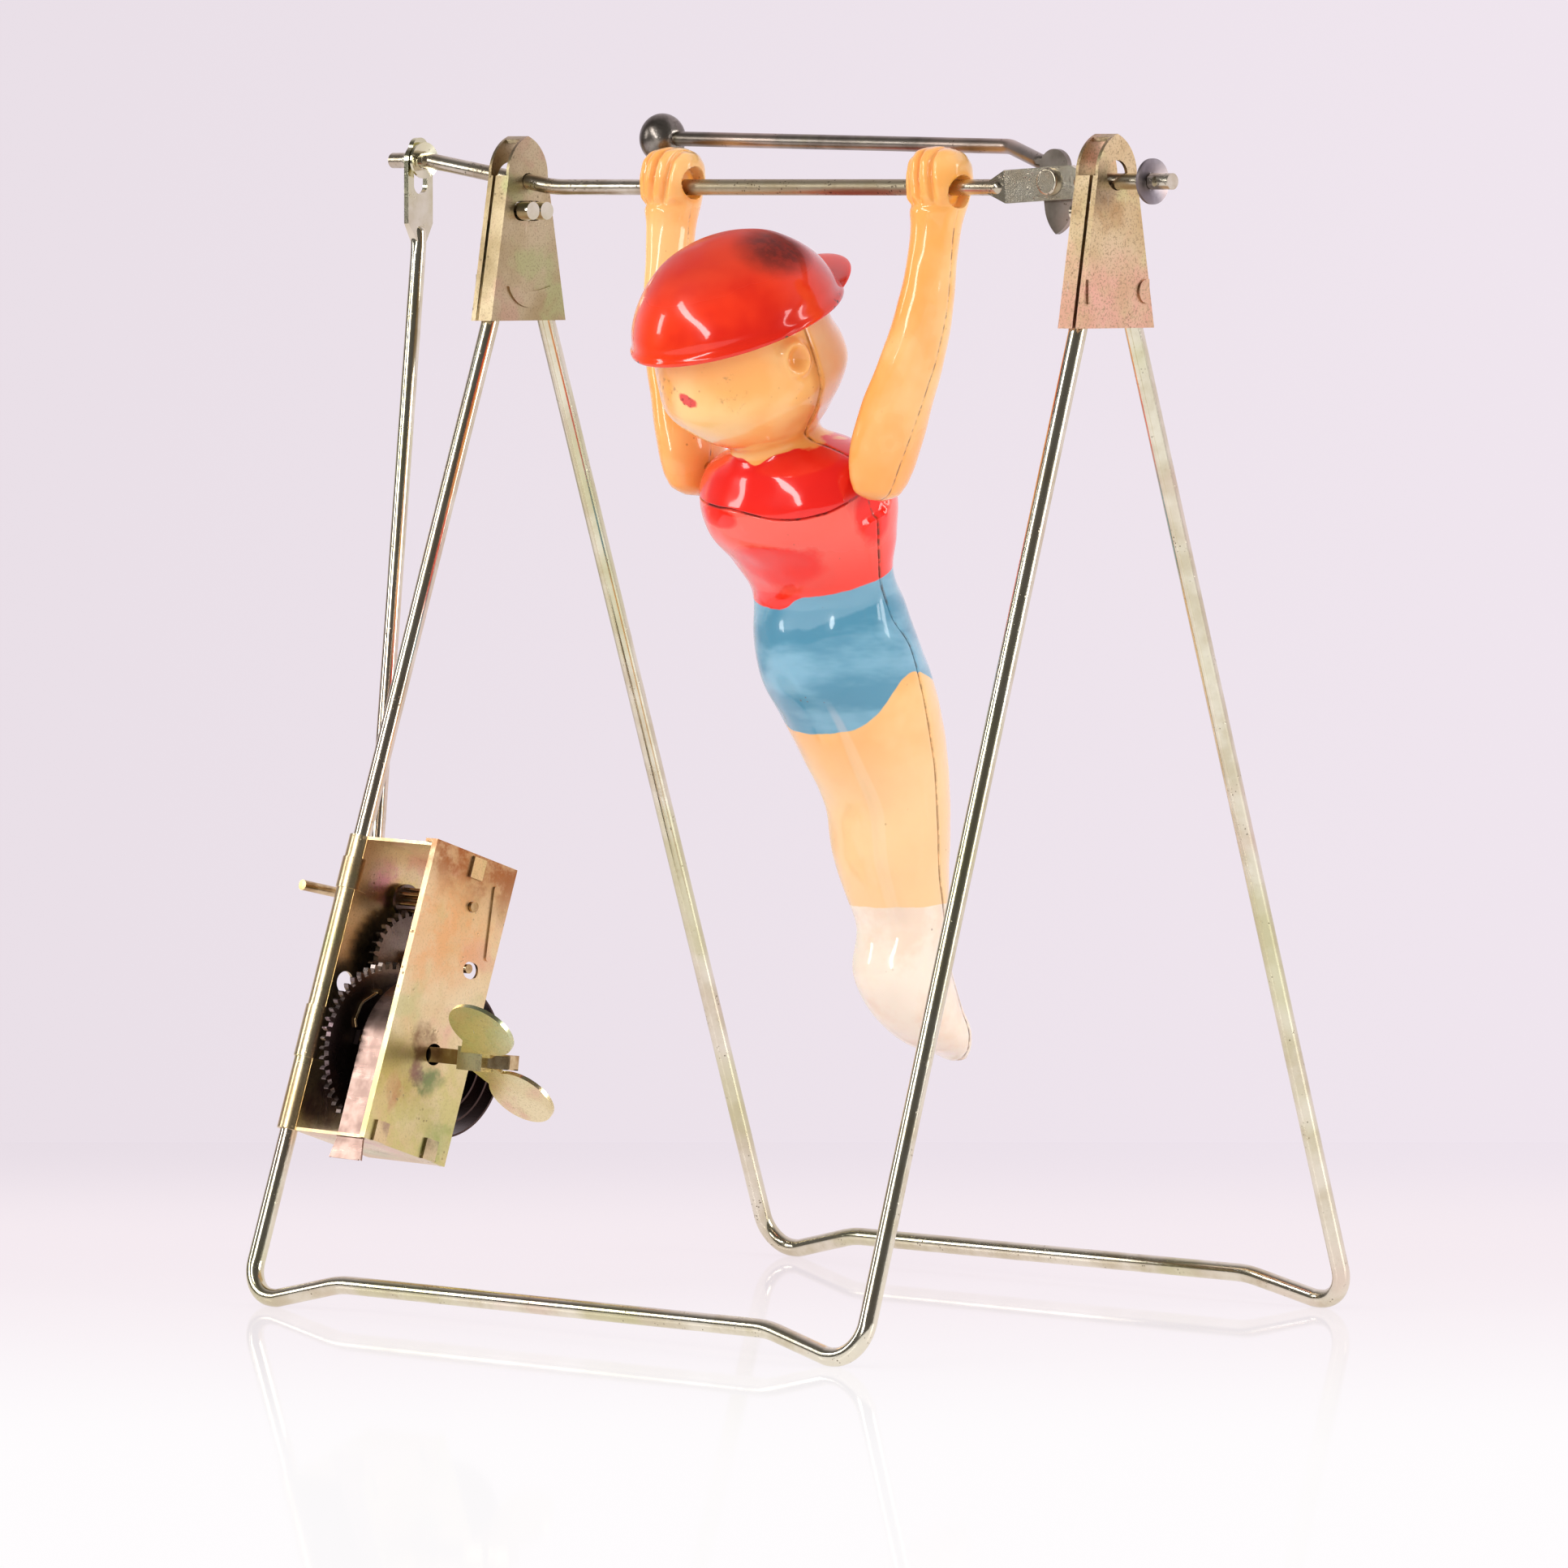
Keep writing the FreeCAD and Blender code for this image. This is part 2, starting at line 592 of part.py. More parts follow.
def weight_arm():
    """A pressed plate with a round lobe and a pointed stop, drawn out into the rod."""
    front = pressed_thick / 2 + 0.1
    pivot = Vector(rivet_place, front, bar_height)

    def spot(x, z):
        return pivot + Vector(x, 0, z)

    edges = [Part.Arc(spot(3.4, 2.2), spot(0.2, 5.9), spot(-3.6, 2.6)).toShape(),
             Part.LineSegment(spot(-3.6, 2.6), spot(-2.4, -4.4)).toShape(),
             Part.Arc(spot(-2.4, -4.4), spot(-1.2, -7.9), spot(0.4, -9.6)).toShape(),
             Part.Arc(spot(0.4, -9.6), spot(3.4, -7.4), spot(4.6, -4.4)).toShape(),
             Part.LineSegment(spot(4.6, -4.4), spot(3.4, 2.2)).toShape()]
    plate = extruded(edges, Vector(0, arm_plate_thick, 0))
    hole = Part.makeCylinder(rivet_dia / 2 + 0.05, 6, pivot - Vector(0, 2, 0), Vector(0, 1, 0))
    rod_height = ball_height - 1.7
    points = [Vector(-ball_reach, arm_rod_offset, ball_height),
              Vector(46.0, arm_rod_offset, rod_height),
              Vector(rivet_place - 4.6, front + arm_plate_thick / 2 + 0.8, bar_height + 3.6),
              Vector(rivet_place - 1.2, front + arm_plate_thick / 2 + 0.8, bar_height + 3.2)]
    rod = wire_solid(bent_path(points, [6.0, 2.2]), arm_rod_dia)
    solid = rod.fuse(plate).cut(hole)
    keep_off = Part.makeBox(20, 6, 30, Vector(rivet_place - 10, front - 6, bar_height - 12))
    solid = solid.cut(keep_off).removeSplitter()
    shaped("weight_arm", solid, Placement(at(0, 0, 0), Rotation()))


def weight_ball():
    """An egg-shaped ball, drilled to sit on the arm's end."""
    body = new_body("weight_ball")
    profile = sketch_on(body, "XZ_Plane")
    half_wide = ball_width / 2
    half_long = ball_length / 2
    top = Vector(0, half_long, 0)
    side = Vector(half_wide, 0, 0)
    egg = Part.Ellipse(top, side, Vector(0, 0, 0))
    low = Vector(0, -half_long, 0)
    profile.addGeometry(Part.ArcOfEllipse(egg, 0, math.pi), False)
    profile.addGeometry(Part.LineSegment(low, top), False)
    turn = body.newObject("PartDesign::Revolution", "weight_ball_turn")
    turn.Profile = profile
    for item in body.Origin.OriginFeatures:
        if item.Role == "Z_Axis":
            turn.ReferenceAxis = (item, [""])
    turn.Angle = 360
    doc.recompute()
    drill = sketch_on(body, "YZ_Plane", 0.0)
    add_circle(drill, 0, 0, "arm_rod_dia")
    pocket(body, drill, bound("ball_width"))
    body.Placement = Placement(at(-ball_reach, arm_rod_offset, ball_height), Rotation(Vector(0, 1, 0), 1.1))


# Motor


def motor_placement():
    """The motor hangs on the front left leg: x across, y away from the leg, z up the leg."""
    centre_line = frame_dia / 2
    knee = Vector(-leg_top_half, -knee_reach, knee_height)
    foot = Vector(-front_foot_half, -foot_reach, centre_line)
    up = (knee - foot).normalize()
    across = (Vector(1, 0, 0) - up * up.x).normalize()
    away = up.cross(across)
    base = knee - up * motor_drop
    return Placement(at(base.x, base.y, base.z), Rotation(across, away, up, "XYZ"))


second_z = lantern_z - math.sqrt((gear_module * (second_teeth + pinion_leaves) / 2) ** 2
                                 - (second_y - lantern_y) ** 2)
great_z = second_z - math.sqrt((gear_module * (great_teeth + pinion_leaves) / 2) ** 2
                               - (second_y - great_y) ** 2)


# Turns that put one tooth of each wheel on the line of centres, between two pins or leaves
leaf_step = 360.0 / pinion_leaves
second_turn = math.degrees(math.atan2(lantern_z - second_z, lantern_y - second_y))
lantern_turn = second_turn + 180 + leaf_step / 2
great_turn = math.degrees(math.atan2(second_z - great_z, second_y - great_y))
pinion_turn = great_turn + 180 + leaf_step / 2


def in_motor(x, y, z, turn=0.0):
    """The placement of a piece on an arbor line of the motor, turned about that line."""
    return motor_placement().multiply(Placement(Vector(x, y, z), Rotation(Vector(1, 0, 0), turn)))


def motor_base_plate():
    """Channel-shaped plate whose front edge is rolled round the leg, with tabs through the other plate."""
    body = new_body("motor_base_plate")
    front = -motor_front_edge
    rear = front + motor_width
    leg_radius = frame_dia / 2
    back_face = leg_radius + 0.05
    fold_reach = motor_depth - motor_sheet
    flat = sketch_on(body, "XZ_Plane", -rear)
    inner = back_face + motor_sheet
    add_loop(flat, [(back_face, 0), (fold_reach, 0), (fold_reach, motor_sheet), (inner, motor_sheet),
                    (inner, motor_height - motor_sheet), (fold_reach, motor_height - motor_sheet),
                    (fold_reach, motor_height), (back_face, motor_height)])
    pad(body, flat, bound("motor_width"))
    roll = sketch_on(body, "XY_Plane")
    add_roll(roll, leg_radius + 0.05, motor_sheet, 2.4)
    pad(body, roll, bound("motor_height"))
    for low, high in lug_lengths:
        lug = sketch_on(body, "XY_Plane", low)
        add_roll(lug, leg_radius + 0.05, motor_sheet + 0.25, -1.1)
        pad(body, lug, "%g" % (high - low))
    holes = sketch_on(body, "YZ_Plane", back_face - 1.0)
    add_circle(holes, sight_y, sight_z, "base_sight_dia")
    add_circle(holes, lantern_y, lantern_z, "base_crank_hole")
    add_circle(holes, second_y, second_z, "pivot_hole")
    add_circle(holes, great_y, great_z, "arbor_hole")
    pocket(body, holes, bound("motor_sheet") + " + 2")
    tabs = sketch_on(body, "YZ_Plane", fold_reach - 0.1)
    for y, edge in tab_places:
        z = min(edge, motor_height - motor_sheet)
        add_loop(tabs, [(y - tab_half, z), (y + tab_half, z),
                        (y + tab_half, z + motor_sheet), (y - tab_half, z + motor_sheet)])
    pad(body, tabs, bound("motor_sheet") + " + 0.7")
    bent = sketch_on(body, "YZ_Plane", motor_depth + 0.02)
    for y, edge in tab_places:
        tip = edge - tab_bend if edge > 0 else edge + tab_bend
        add_loop(bent, [(y - tab_half, edge), (y + tab_half, edge), (y + tab_half, tip), (y - tab_half, tip)])
    pad(body, bent, bound("motor_sheet"))
    slot = sketch_on(body, "XY_Plane", -0.1)
    line = great_y - spring_left_reach - spring_thick / 2
    half_gap = spring_thick / 2 + 0.25
    low = spring_start - 0.3
    high = spring_start + spring_width + 0.3
    add_loop(slot, [(low, line - half_gap), (high, line - half_gap),
                    (high, line + half_gap), (low, line + half_gap)])
    pocket(body, slot, bound("motor_sheet") + " + 0.2")
    body.Placement = motor_placement()


def add_roll(sketch, inner, thick, end):
    """Part of a ring round the leg wire, from the plate round the front to x = end on the far side."""
    outer = inner + thick
    start_in = Vector(inner, 0, 0)
    start_out = Vector(outer, 0, 0)
    if end > 0:
        stop = math.radians(215)
    else:
        stop = math.radians(290)

    def spot(radius, angle):
        return Vector(radius * math.cos(angle), -radius * math.sin(angle), 0)

    sketch.addGeometry(Part.Arc(start_in, spot(inner, stop / 2), spot(inner, stop)), False)
    sketch.addGeometry(Part.LineSegment(spot(inner, stop), spot(outer, stop)), False)
    sketch.addGeometry(Part.Arc(spot(outer, stop), spot(outer, stop / 2), start_out), False)
    corner_in = Vector(inner, 2.2, 0)
    corner_out = Vector(outer, 2.2, 0)
    sketch.addGeometry(Part.LineSegment(start_out, corner_out), False)
    sketch.addGeometry(Part.LineSegment(corner_out, corner_in), False)
    sketch.addGeometry(Part.LineSegment(corner_in, start_in), False)


def motor_front_plate():
    """Flat plate with turned-back rims, arbor holes, a stiffening rib and slots for the tabs."""
    body = new_body("motor_front_plate")
    front = -motor_front_edge
    rear = front + motor_width
    face = motor_depth - motor_sheet
    outline = sketch_on(body, "YZ_Plane", face)
    add_loop(outline, [(front, 0.0), (rear, 0.0), (rear, motor_height), (front, motor_height)])
    pad(body, outline, bound("motor_sheet"))
    rims = sketch_on(body, "YZ_Plane", face)
    rim = motor_sheet
    add_loop(rims, [(front - rim, 0.0), (front, 0.0), (front, motor_height), (front - rim, motor_height)])
    add_loop(rims, [(rear, 0.0), (rear + rim, 0.0), (rear + rim, motor_height), (rear, motor_height)])
    pad(body, rims, bound("rim_depth"), True)
    top_rim = sketch_on(body, "YZ_Plane", face)
    add_loop(top_rim, [(front - rim, motor_height), (rear + rim, motor_height),
                       (rear + rim, motor_height + rim), (front - rim, motor_height + rim)])
    pad(body, top_rim, "2.6", True)
    close = sketch_on(body, "YZ_Plane", face)
    add_loop(close, [(front - rim, 0.0), (front, 0.0), (front, motor_height), (front - rim, motor_height)])
    add_loop(close, [(rear, 0.0), (rear + rim, 0.0), (rear + rim, motor_height), (rear, motor_height)])
    pad(body, close, bound("motor_sheet"))
    cap = sketch_on(body, "YZ_Plane", face)
    add_loop(cap, [(front - rim, motor_height), (rear + rim, motor_height),
                   (rear + rim, motor_height + rim), (front - rim, motor_height + rim)])
    pad(body, cap, bound("motor_sheet"))
    holes = sketch_on(body, "YZ_Plane", face - 0.1)
    add_circle(holes, lantern_y, lantern_z, "base_crank_hole")
    add_slot(holes, (second_y + 0.15, second_z - 0.2), (second_y + 0.85, second_z - 0.2), 3.2)
    add_circle(holes, great_y, great_z, "key_hole_dia")
    pocket(body, holes, bound("motor_sheet") + " + 0.2")
    slots = sketch_on(body, "YZ_Plane", face - 0.1)
    for y, edge in tab_places:
        half = tab_half + 0.1
        low = min(edge, motor_height - motor_sheet) - 0.1
        high = low + motor_sheet + 0.2
        add_loop(slots, [(y - half, low), (y + half, low), (y + half, high), (y - half, high)])
    pocket(body, slots, bound("motor_sheet") + " + 0.2")
    rib = sketch_on(body, "YZ_Plane", motor_depth - 0.05)
    add_slot(rib, (16.3, 53.0), (18.4, 40.2), 1.4)
    pad(body, rib, "0.45")
    body.Placement = motor_placement()


def spring_edge(offset):
    """Half turns under and over the arbor; they spread further apart on the open side."""
    closed_side = (spring_left_reach - spring_inner) / spring_turns
    arcs = []
    for turn in range(int(spring_turns)):
        left = Vector(-(spring_inner + closed_side * turn) - offset, 0, 0)
        right = Vector(spring_inner + spring_pitch * (turn + 0.5) + offset, 0, 0)
        next_left = Vector(-(spring_inner + closed_side * (turn + 1)) - offset, 0, 0)
        under = (left + right) / 2 - Vector(0, (right.x - left.x) / 2, 0)
        over = (next_left + right) / 2 + Vector(0, (right.x - next_left.x) / 2, 0)
        arcs.append(Part.Arc(left, under, right))
        arcs.append(Part.Arc(right, over, next_left))
    tail = arcs[-1].EndPoint
    arcs.append(Part.LineSegment(tail, Vector(tail.x, -great_z - spring_tail, 0)))
    return arcs


def mainspring():
    """A flat strip in even turns, whose outer end runs down through a slot to a fishtail."""
    body = new_body("mainspring")
    strip = sketch_on(body, "YZ_Plane", spring_start)
    inner_edge = spring_edge(0.0)
    outer_edge = spring_edge(spring_thick)
    for edge in inner_edge + outer_edge:
        strip.addGeometry(edge, False)
    strip.addGeometry(Part.LineSegment(inner_edge[0].StartPoint, outer_edge[0].StartPoint), False)
    strip.addGeometry(Part.LineSegment(inner_edge[-1].EndPoint, outer_edge[-1].EndPoint), False)
    pad(body, strip, bound("spring_width"))
    tail = sketch_on(body, "XZ_Plane", spring_left_reach)
    top = -great_z - 0.4
    foot = -great_z - spring_tail
    middle = spring_start + spring_width / 2
    add_loop(tail, [(spring_start, top), (spring_start + spring_width, top),
                    (spring_start + spring_width + 0.8, foot), (middle, foot + 1.1), (spring_start - 0.8, foot)])
    pad(body, tail, bound("spring_thick"))
    body.Placement = in_motor(0, great_y, great_z)
    runs = [edge.toShape().discretize(40) for edge in inner_edge]
    least = min((p - q).Length for first, early in enumerate(runs) for later in runs[first + 2:]
                for p in early for q in later)
    print("mainspring: least gap between turns %.2f mm" % (least - spring_thick))


def toothed_wheel(label, teeth_name, bore_name, plane, y, z, turn):
    """A thin wheel with pointed round-flanked teeth, cut with four light spokes windows."""
    teeth = sheet.get(teeth_name)
    pitch_radius = gear_module * teeth / 2
    root = pitch_radius - 0.75
    tip = pitch_radius + 0.6
    body = new_body(label)
    disc = sketch_on(body, "YZ_Plane")
    disc.addGeometry(Part.Circle(Vector(0, 0, 0), Vector(0, 0, 1), root), False)
    add_circle(disc, 0, 0, bore_name)
    pad(body, disc, bound("wheel_thick"))
    tooth = sketch_on(body, "YZ_Plane")
    half_root = 0.48
    half_pitch_line = 0.42
    half_tip = 0.12
    p = [Vector(root - 0.2, -half_root, 0), Vector(pitch_radius, -half_pitch_line, 0), Vector(tip, -half_tip, 0),
         Vector(tip, half_tip, 0), Vector(pitch_radius, half_pitch_line, 0), Vector(root - 0.2, half_root, 0)]
    for start, end in zip(p, p[1:] + p[:1]):
        tooth.addGeometry(Part.LineSegment(start, end), False)
    one = pad(body, tooth, bound("wheel_thick"))
    ring_pattern(body, one, "X_Axis", bound(teeth_name))
    body.Placement = in_motor(plane, y, z, turn)
    return body


def pinion(label, length, plane, y, z, turn):
    """A small leaved pinion cut in one piece, to mesh with a toothed wheel."""
    pitch_radius = gear_module * pinion_leaves / 2
    body = new_body(label)
    core = sketch_on(body, "YZ_Plane")
    core.addGeometry(Part.Circle(Vector(0, 0, 0), Vector(0, 0, 1), pitch_radius - 0.75), False)
    add_circle(core, 0, 0, "pivot_dia")
    pad(body, core, length)
    leaf = sketch_on(body, "YZ_Plane")
    root = pitch_radius - 1.0
    tip = pitch_radius + 0.35
    half_top = 0.36
    half_root = half_top * root / pitch_radius
    low = [Vector(root, half_root, 0), Vector(root, -half_root, 0)]
    high = [Vector(pitch_radius, -half_top, 0), Vector(pitch_radius, half_top, 0)]
    leaf.addGeometry(Part.LineSegment(low[0], low[1]), False)
    leaf.addGeometry(Part.LineSegment(low[1], high[0]), False)
    leaf.addGeometry(Part.Arc(high[0], Vector(tip, 0, 0), high[1]), False)
    leaf.addGeometry(Part.LineSegment(high[1], low[0]), False)
    one = pad(body, leaf, length)
    ring_pattern(body, one, "X_Axis", bound("pinion_leaves"))
    body.Placement = in_motor(plane, y, z, turn)


def lantern_pinion():
    """Seven pins between two discs, on the crank arbor."""
    pitch_radius = gear_module * pinion_leaves / 2
    for label, plane in (("lantern_disc_rear", lantern_start),
                         ("lantern_disc_front", lantern_start + lantern_length - lantern_disc_thick)):
        body = new_body(label)
        disc = sketch_on(body, "YZ_Plane")
        add_circle(disc, 0, 0, "lantern_disc_dia")
        add_circle(disc, 0, 0, "crank_wire_dia")
        pad(body, disc, bound("lantern_disc_thick"))
        hole = sketch_on(body, "YZ_Plane", -0.1)
        add_circle(hole, pitch_radius, 0, "lantern_pin_dia")
        one = pocket(body, hole, bound("lantern_disc_thick") + " + 0.2")
        ring_pattern(body, one, "X_Axis", bound("pinion_leaves"))
        body.Placement = in_motor(plane, lantern_y, lantern_z, lantern_turn)
    pins = []
    for count in range(int(pinion_leaves)):
        angle = 2 * math.pi * count / pinion_leaves
        foot = Vector(0, pitch_radius * math.cos(angle), pitch_radius * math.sin(angle))
        pins.append(Part.makeCylinder(lantern_pin_dia / 2, lantern_length, foot, Vector(1, 0, 0)))
    shaped("lantern_pins", Part.Compound(pins), in_motor(lantern_start, lantern_y, lantern_z, lantern_turn))


def crank_arbor():
    """Output wire: through both plates, cranked outside the base plate, then a radial tail."""
    lean = math.atan2(foot_reach - knee_reach, knee_height - frame_dia / 2)
    throw = Vector(0, -math.sin(lean), math.cos(lean)) * bar_throw
    tail = Vector(0, -0.994, -0.112) * 12.4
    axis_point = Vector(0, lantern_y, lantern_z)

    def spot(x, shift):
        return axis_point + Vector(x, 0, 0) + shift

    none = Vector(0, 0, 0)
    points = [spot(motor_depth + 0.7, none), spot(-1.6, none), spot(-1.6, throw), spot(-8.6, throw),
              spot(-8.6, none), spot(-12.0, none), spot(-12.0, tail)]
    bend = crank_wire_dia * 0.65
    path = bent_path(points, [bend] * 5)
    shaped("crank_arbor", wire_solid(path, crank_wire_dia), motor_placement())


def connecting_rod():
    """Wire between the two cranks, pressed into a slotted eye above and a round eye below."""
    lean = math.atan2(foot_reach - knee_reach, knee_height - frame_dia / 2)
    throw = Vector(0, -math.sin(lean), math.cos(lean)) * bar_throw
    pin_local = Vector(-5.1, lantern_y, lantern_z) + throw
    low = motor_placement().multVec(pin_local) - at(0, 0, 0)
    high = Vector(-rod_eye_plane, 0, bar_height + bar_throw)
    half_wide = rod_eye_width / 2
    upper_root = Vector(high.x, 0, high.z - rod_slot_length - 5.5)
    along = (low - upper_root).normalize()
    lower_root = low - along * (half_wide + 2.4)
    rod = wire_solid(bent_path([upper_root, upper_root + Vector(0, 0, -3.0), lower_root], [10.0]), rod_dia)
    upper_length = high.z - upper_root.z - rod_eye_taper / 2
    upper = pressed_strip(upper_root - Vector(0, 0, rod_eye_taper / 2), Vector(0, 0, 1), Vector(0, 1, 0),
                          (rod_eye_taper, 0), upper_length, half_wide)
    crown = Part.makeCylinder(half_wide, pressed_thick, high - Vector(pressed_thick / 2, 0, 0), Vector(1, 0, 0))
    crown_top = Part.makeCylinder(half_wide * 0.62, pressed_thick, high + Vector(-pressed_thick / 2, 0, 2.4),
                                  Vector(1, 0, 0))
    slot_radius = rod_slot_width / 2
    slot_high = high.z + 0.15
    slot_low = slot_high + rod_slot_width - rod_slot_length
    slot = Part.makeBox(4, rod_slot_width, slot_high - slot_low, Vector(high.x - 2, -slot_radius, slot_low))
    for z in (slot_low, slot_high):
        slot = slot.fuse(Part.makeCylinder(slot_radius, 4, Vector(high.x - 2, 0, z), Vector(1, 0, 0)))
    across = motor_placement().Rotation.multVec(Vector(1, 0, 0))
    reach = (low - lower_root).Length
    lower = pressed_strip(lower_root - along * rod_eye_taper / 2, along, across.cross(along).normalize(),
                          (rod_eye_taper, 0), reach - rod_eye_taper / 2, half_wide)
    lower_eye = Part.makeCylinder(half_wide, pressed_thick, low - across * pressed_thick / 2, across)
    lower_bore = Part.makeCylinder(crank_wire_dia / 2 + 0.08, 4, low - across * 2, across)
    solid = rod.fuse([upper, crown, crown_top, domed(upper_root, rod_dia), lower, lower_eye,
                      domed(lower_root, rod_dia)])
    solid = solid.cut(slot.fuse(lower_bore)).removeSplitter()
    shaped("connecting_rod", solid, Placement(at(0, 0, 0), Rotation()))


def winding_arbor():
    """Round between the plates, square outside where the key sits."""
    pin = Part.makeCylinder(arbor_dia / 2, spring_start - 0.4 + spring_width, Vector(0, 0, 0), Vector(1, 0, 0))
    start = spring_start - 0.4 + spring_width
    length = motor_depth + key_stick_out - start
    half = key_square / 2
    square = Part.makeBox(length, key_square, key_square, Vector(start, -half, -half))
    square = square.makeChamfer(0.25, [edge for edge in square.Edges
                                       if edge.BoundBox.XMin > start + length - 0.01])
    solid = pin.fuse(square).removeSplitter()
    shaped("winding_arbor", solid, in_motor(0, great_y, great_z, key_turn))


def ratchet_wheel():
    """Saw-toothed wheel fixed on the winding arbor, in front of the great wheel."""
    body = new_body("ratchet_wheel")
    sketch = sketch_on(body, "YZ_Plane")
    corners = []
    for count in range(int(ratchet_teeth)):
        angle = 2 * math.pi * count / ratchet_teeth
        low = ratchet_radius - ratchet_depth
        corners.append((ratchet_radius * math.cos(angle), ratchet_radius * math.sin(angle)))
        corners.append((low * math.cos(angle), low * math.sin(angle)))
    add_loop(sketch, corners)
    add_circle(sketch, 0, 0, "arbor_dia")
    pad(body, sketch, bound("ratchet_thick"))
    body.Placement = in_motor(great_plane + wheel_thick + 0.15, great_y, great_z, 0)


def click_and_spring():
    """The click that holds the ratchet, and the bent wire spring behind it, on the great wheel."""
    face = great_plane + wheel_thick
    reach = 8.2
    pivot = Vector(0, -reach, 0)
    body = new_body("click")
    sketch = sketch_on(body, "YZ_Plane")
    add_loop(sketch, [(-reach - 0.9, -1.3), (-reach + 1.1, -1.3), (-reach + 1.2, 0.6), (-4.95, 2.3),
                      (-5.2, 3.0), (-reach - 0.9, 1.4)])
    pad(body, sketch, bound("ratchet_thick"))
    bore = sketch_on(body, "YZ_Plane", -0.1)
    add_circle(bore, -reach, 0, "click_bore")
    pocket(body, bore, bound("ratchet_thick") + " + 0.2")
    body.Placement = in_motor(face + 0.15, great_y, great_z, 0)
    pin = Part.makeCylinder(sheet.get("click_bore") / 2 - 0.05, ratchet_thick + 0.35, Vector(0, -reach, 0),
                            Vector(1, 0, 0))
    head = Part.makeCylinder(1.0, 0.4, Vector(ratchet_thick + 0.35, -reach, 0), Vector(1, 0, 0))
    shaped("click_rivet", pin.fuse(head).removeSplitter(), in_motor(face, great_y, great_z, 0))
    wire = 0.5
    middle = wire / 2 + 0.02
    points = [Vector(middle, -6.2, 9.6), Vector(middle, -9.6, 6.6), Vector(middle, -10.2, 3.0),
              Vector(middle, -9.5, 1.9)]
    path = bent_path(points, [2.0, 1.0])
    foot = Part.makeCylinder(0.55, 0.9, Vector(0, -6.2, 9.6), Vector(1, 0, 0))
    spring = wire_solid(path, wire).fuse(foot).removeSplitter()
    shaped("click_spring", spring, in_motor(face, great_y, great_z, 0))


def winding_key():
    """Folded sheet key: a square sleeve on the arbor, and two oval wings along its diagonal."""
    body = new_body("winding_key")
    half_in = key_square / 2
    half_out = half_in + key_sheet
    sleeve = sketch_on(body, "YZ_Plane", key_hub_start)
    add_square(sleeve, half_out)
    pad(body, sleeve, bound("key_hub_length"))
    for way in (-1, 1):
        wing = sketch_on(body, "XZ_Plane")
        wing.AttachmentOffset = Placement(Vector(0, 0, 0), Rotation(Vector(1, 0, 0), 45))
        add_ellipse(wing, key_wing_place, way * key_wing_reach, key_wing_length / 2, key_wing_width / 2)
        pad(body, wing, bound("key_sheet"))
        root = sketch_on(body, "XZ_Plane")
        root.AttachmentOffset = Placement(Vector(0, 0, 0), Rotation(Vector(1, 0, 0), 45))
        near = way * half_in
        far = way * (key_wing_reach - 1.0)
        add_loop(root, [(key_hub_start, near), (key_hub_start + key_hub_length + 1.5, near),
                        (key_wing_place + 2.0, far), (key_wing_place - 5.0, far)])
        pad(body, root, bound("key_sheet"))
    bore = sketch_on(body, "YZ_Plane", 0)
    add_square(bore, half_in)
    pocket(body, bore, bound("key_stick_out"))
    body.Placement = in_motor(motor_depth, great_y, great_z, key_turn)


# Gymnast


arm_reach = math.hypot(bar_height - bar_sag - shoulder_height, shoulder_reach)
arm_tilt = math.degrees(math.asin(shoulder_reach / arm_reach))


def arm(label, side):
    """Moulded arm, bowed outwards from the flat oval shoulder to a fist that holds the bar."""
    body = new_body(label)
    sections = []

    def station(height, centre, half_x, half_y):
        sketch = sketch_on(body, "XY_Plane", height)
        add_oval(sketch, side * centre, 0, half_x, half_y)
        sections.append(sketch)

    station(-5.2, 23.2, 2.2, 3.6)
    station(-3.4, 23.4, 4.0, 6.6)
    station(0.0, shoulder_half, 4.9, 8.1)
    station(5.0, 25.0, 5.2, 8.4)
    station(12.0, 27.3, 5.2, 7.8)
    station(20.0, 30.2, 5.0, 6.9)
    station(30.0, 32.8, 4.6, 5.9)
    station(40.0, 34.0, 4.2, 5.0)
    station(46.5, 34.3, 4.5, 4.9)
    station(arm_reach - 1.0, hand_half, 5.1, 5.0)
    station(arm_reach + 3.0, hand_half, fist_half, 5.0)
    station(arm_reach + 6.0, hand_half, 4.6, 4.0)
    station(arm_reach + 7.4, hand_half, 2.6, 2.2)
    loft(body, sections)
    bore = sketch_on(body, "YZ_Plane", -clear_reach)
    add_circle(bore, 0, arm_reach, "bar_dia")
    pocket(body, bore, "2 * " + bound("clear_reach"))
    for way in (-1, 1):
        mouth = hand_half + side * way * (fist_half - hand_hollow_depth)
        hollow = sketch_on(body, "YZ_Plane", side * mouth)
        add_circle(hollow, 0, arm_reach, "hand_hollow_dia")
        pocket(body, hollow, bound("fist_half"), way > 0)
    pin = sketch_on(body, "YZ_Plane", 0.0)
    add_circle(pin, 0, 0, "shoulder_pin_dia")
    pocket(body, pin, bound("shoulder_half"), side > 0)
    body.Placement = Placement(at(0, shoulder_reach, shoulder_height), Rotation(Vector(1, 0, 0), arm_tilt))


def shoulder_pin():
    """The pin that joins both arms and carries the figure."""
    pin = doc.addObject("Part::Cylinder", "shoulder_pin")
    pin.Label = "shoulder_pin"
    pin.setExpression("Radius", bound("shoulder_pin_dia") + " / 2")
    pin.setExpression("Height", "2 * " + bound("shoulder_half"))
    pin.Placement = Placement(at(-shoulder_half, shoulder_reach, shoulder_height), Rotation(Vector(0, 1, 0), 90))


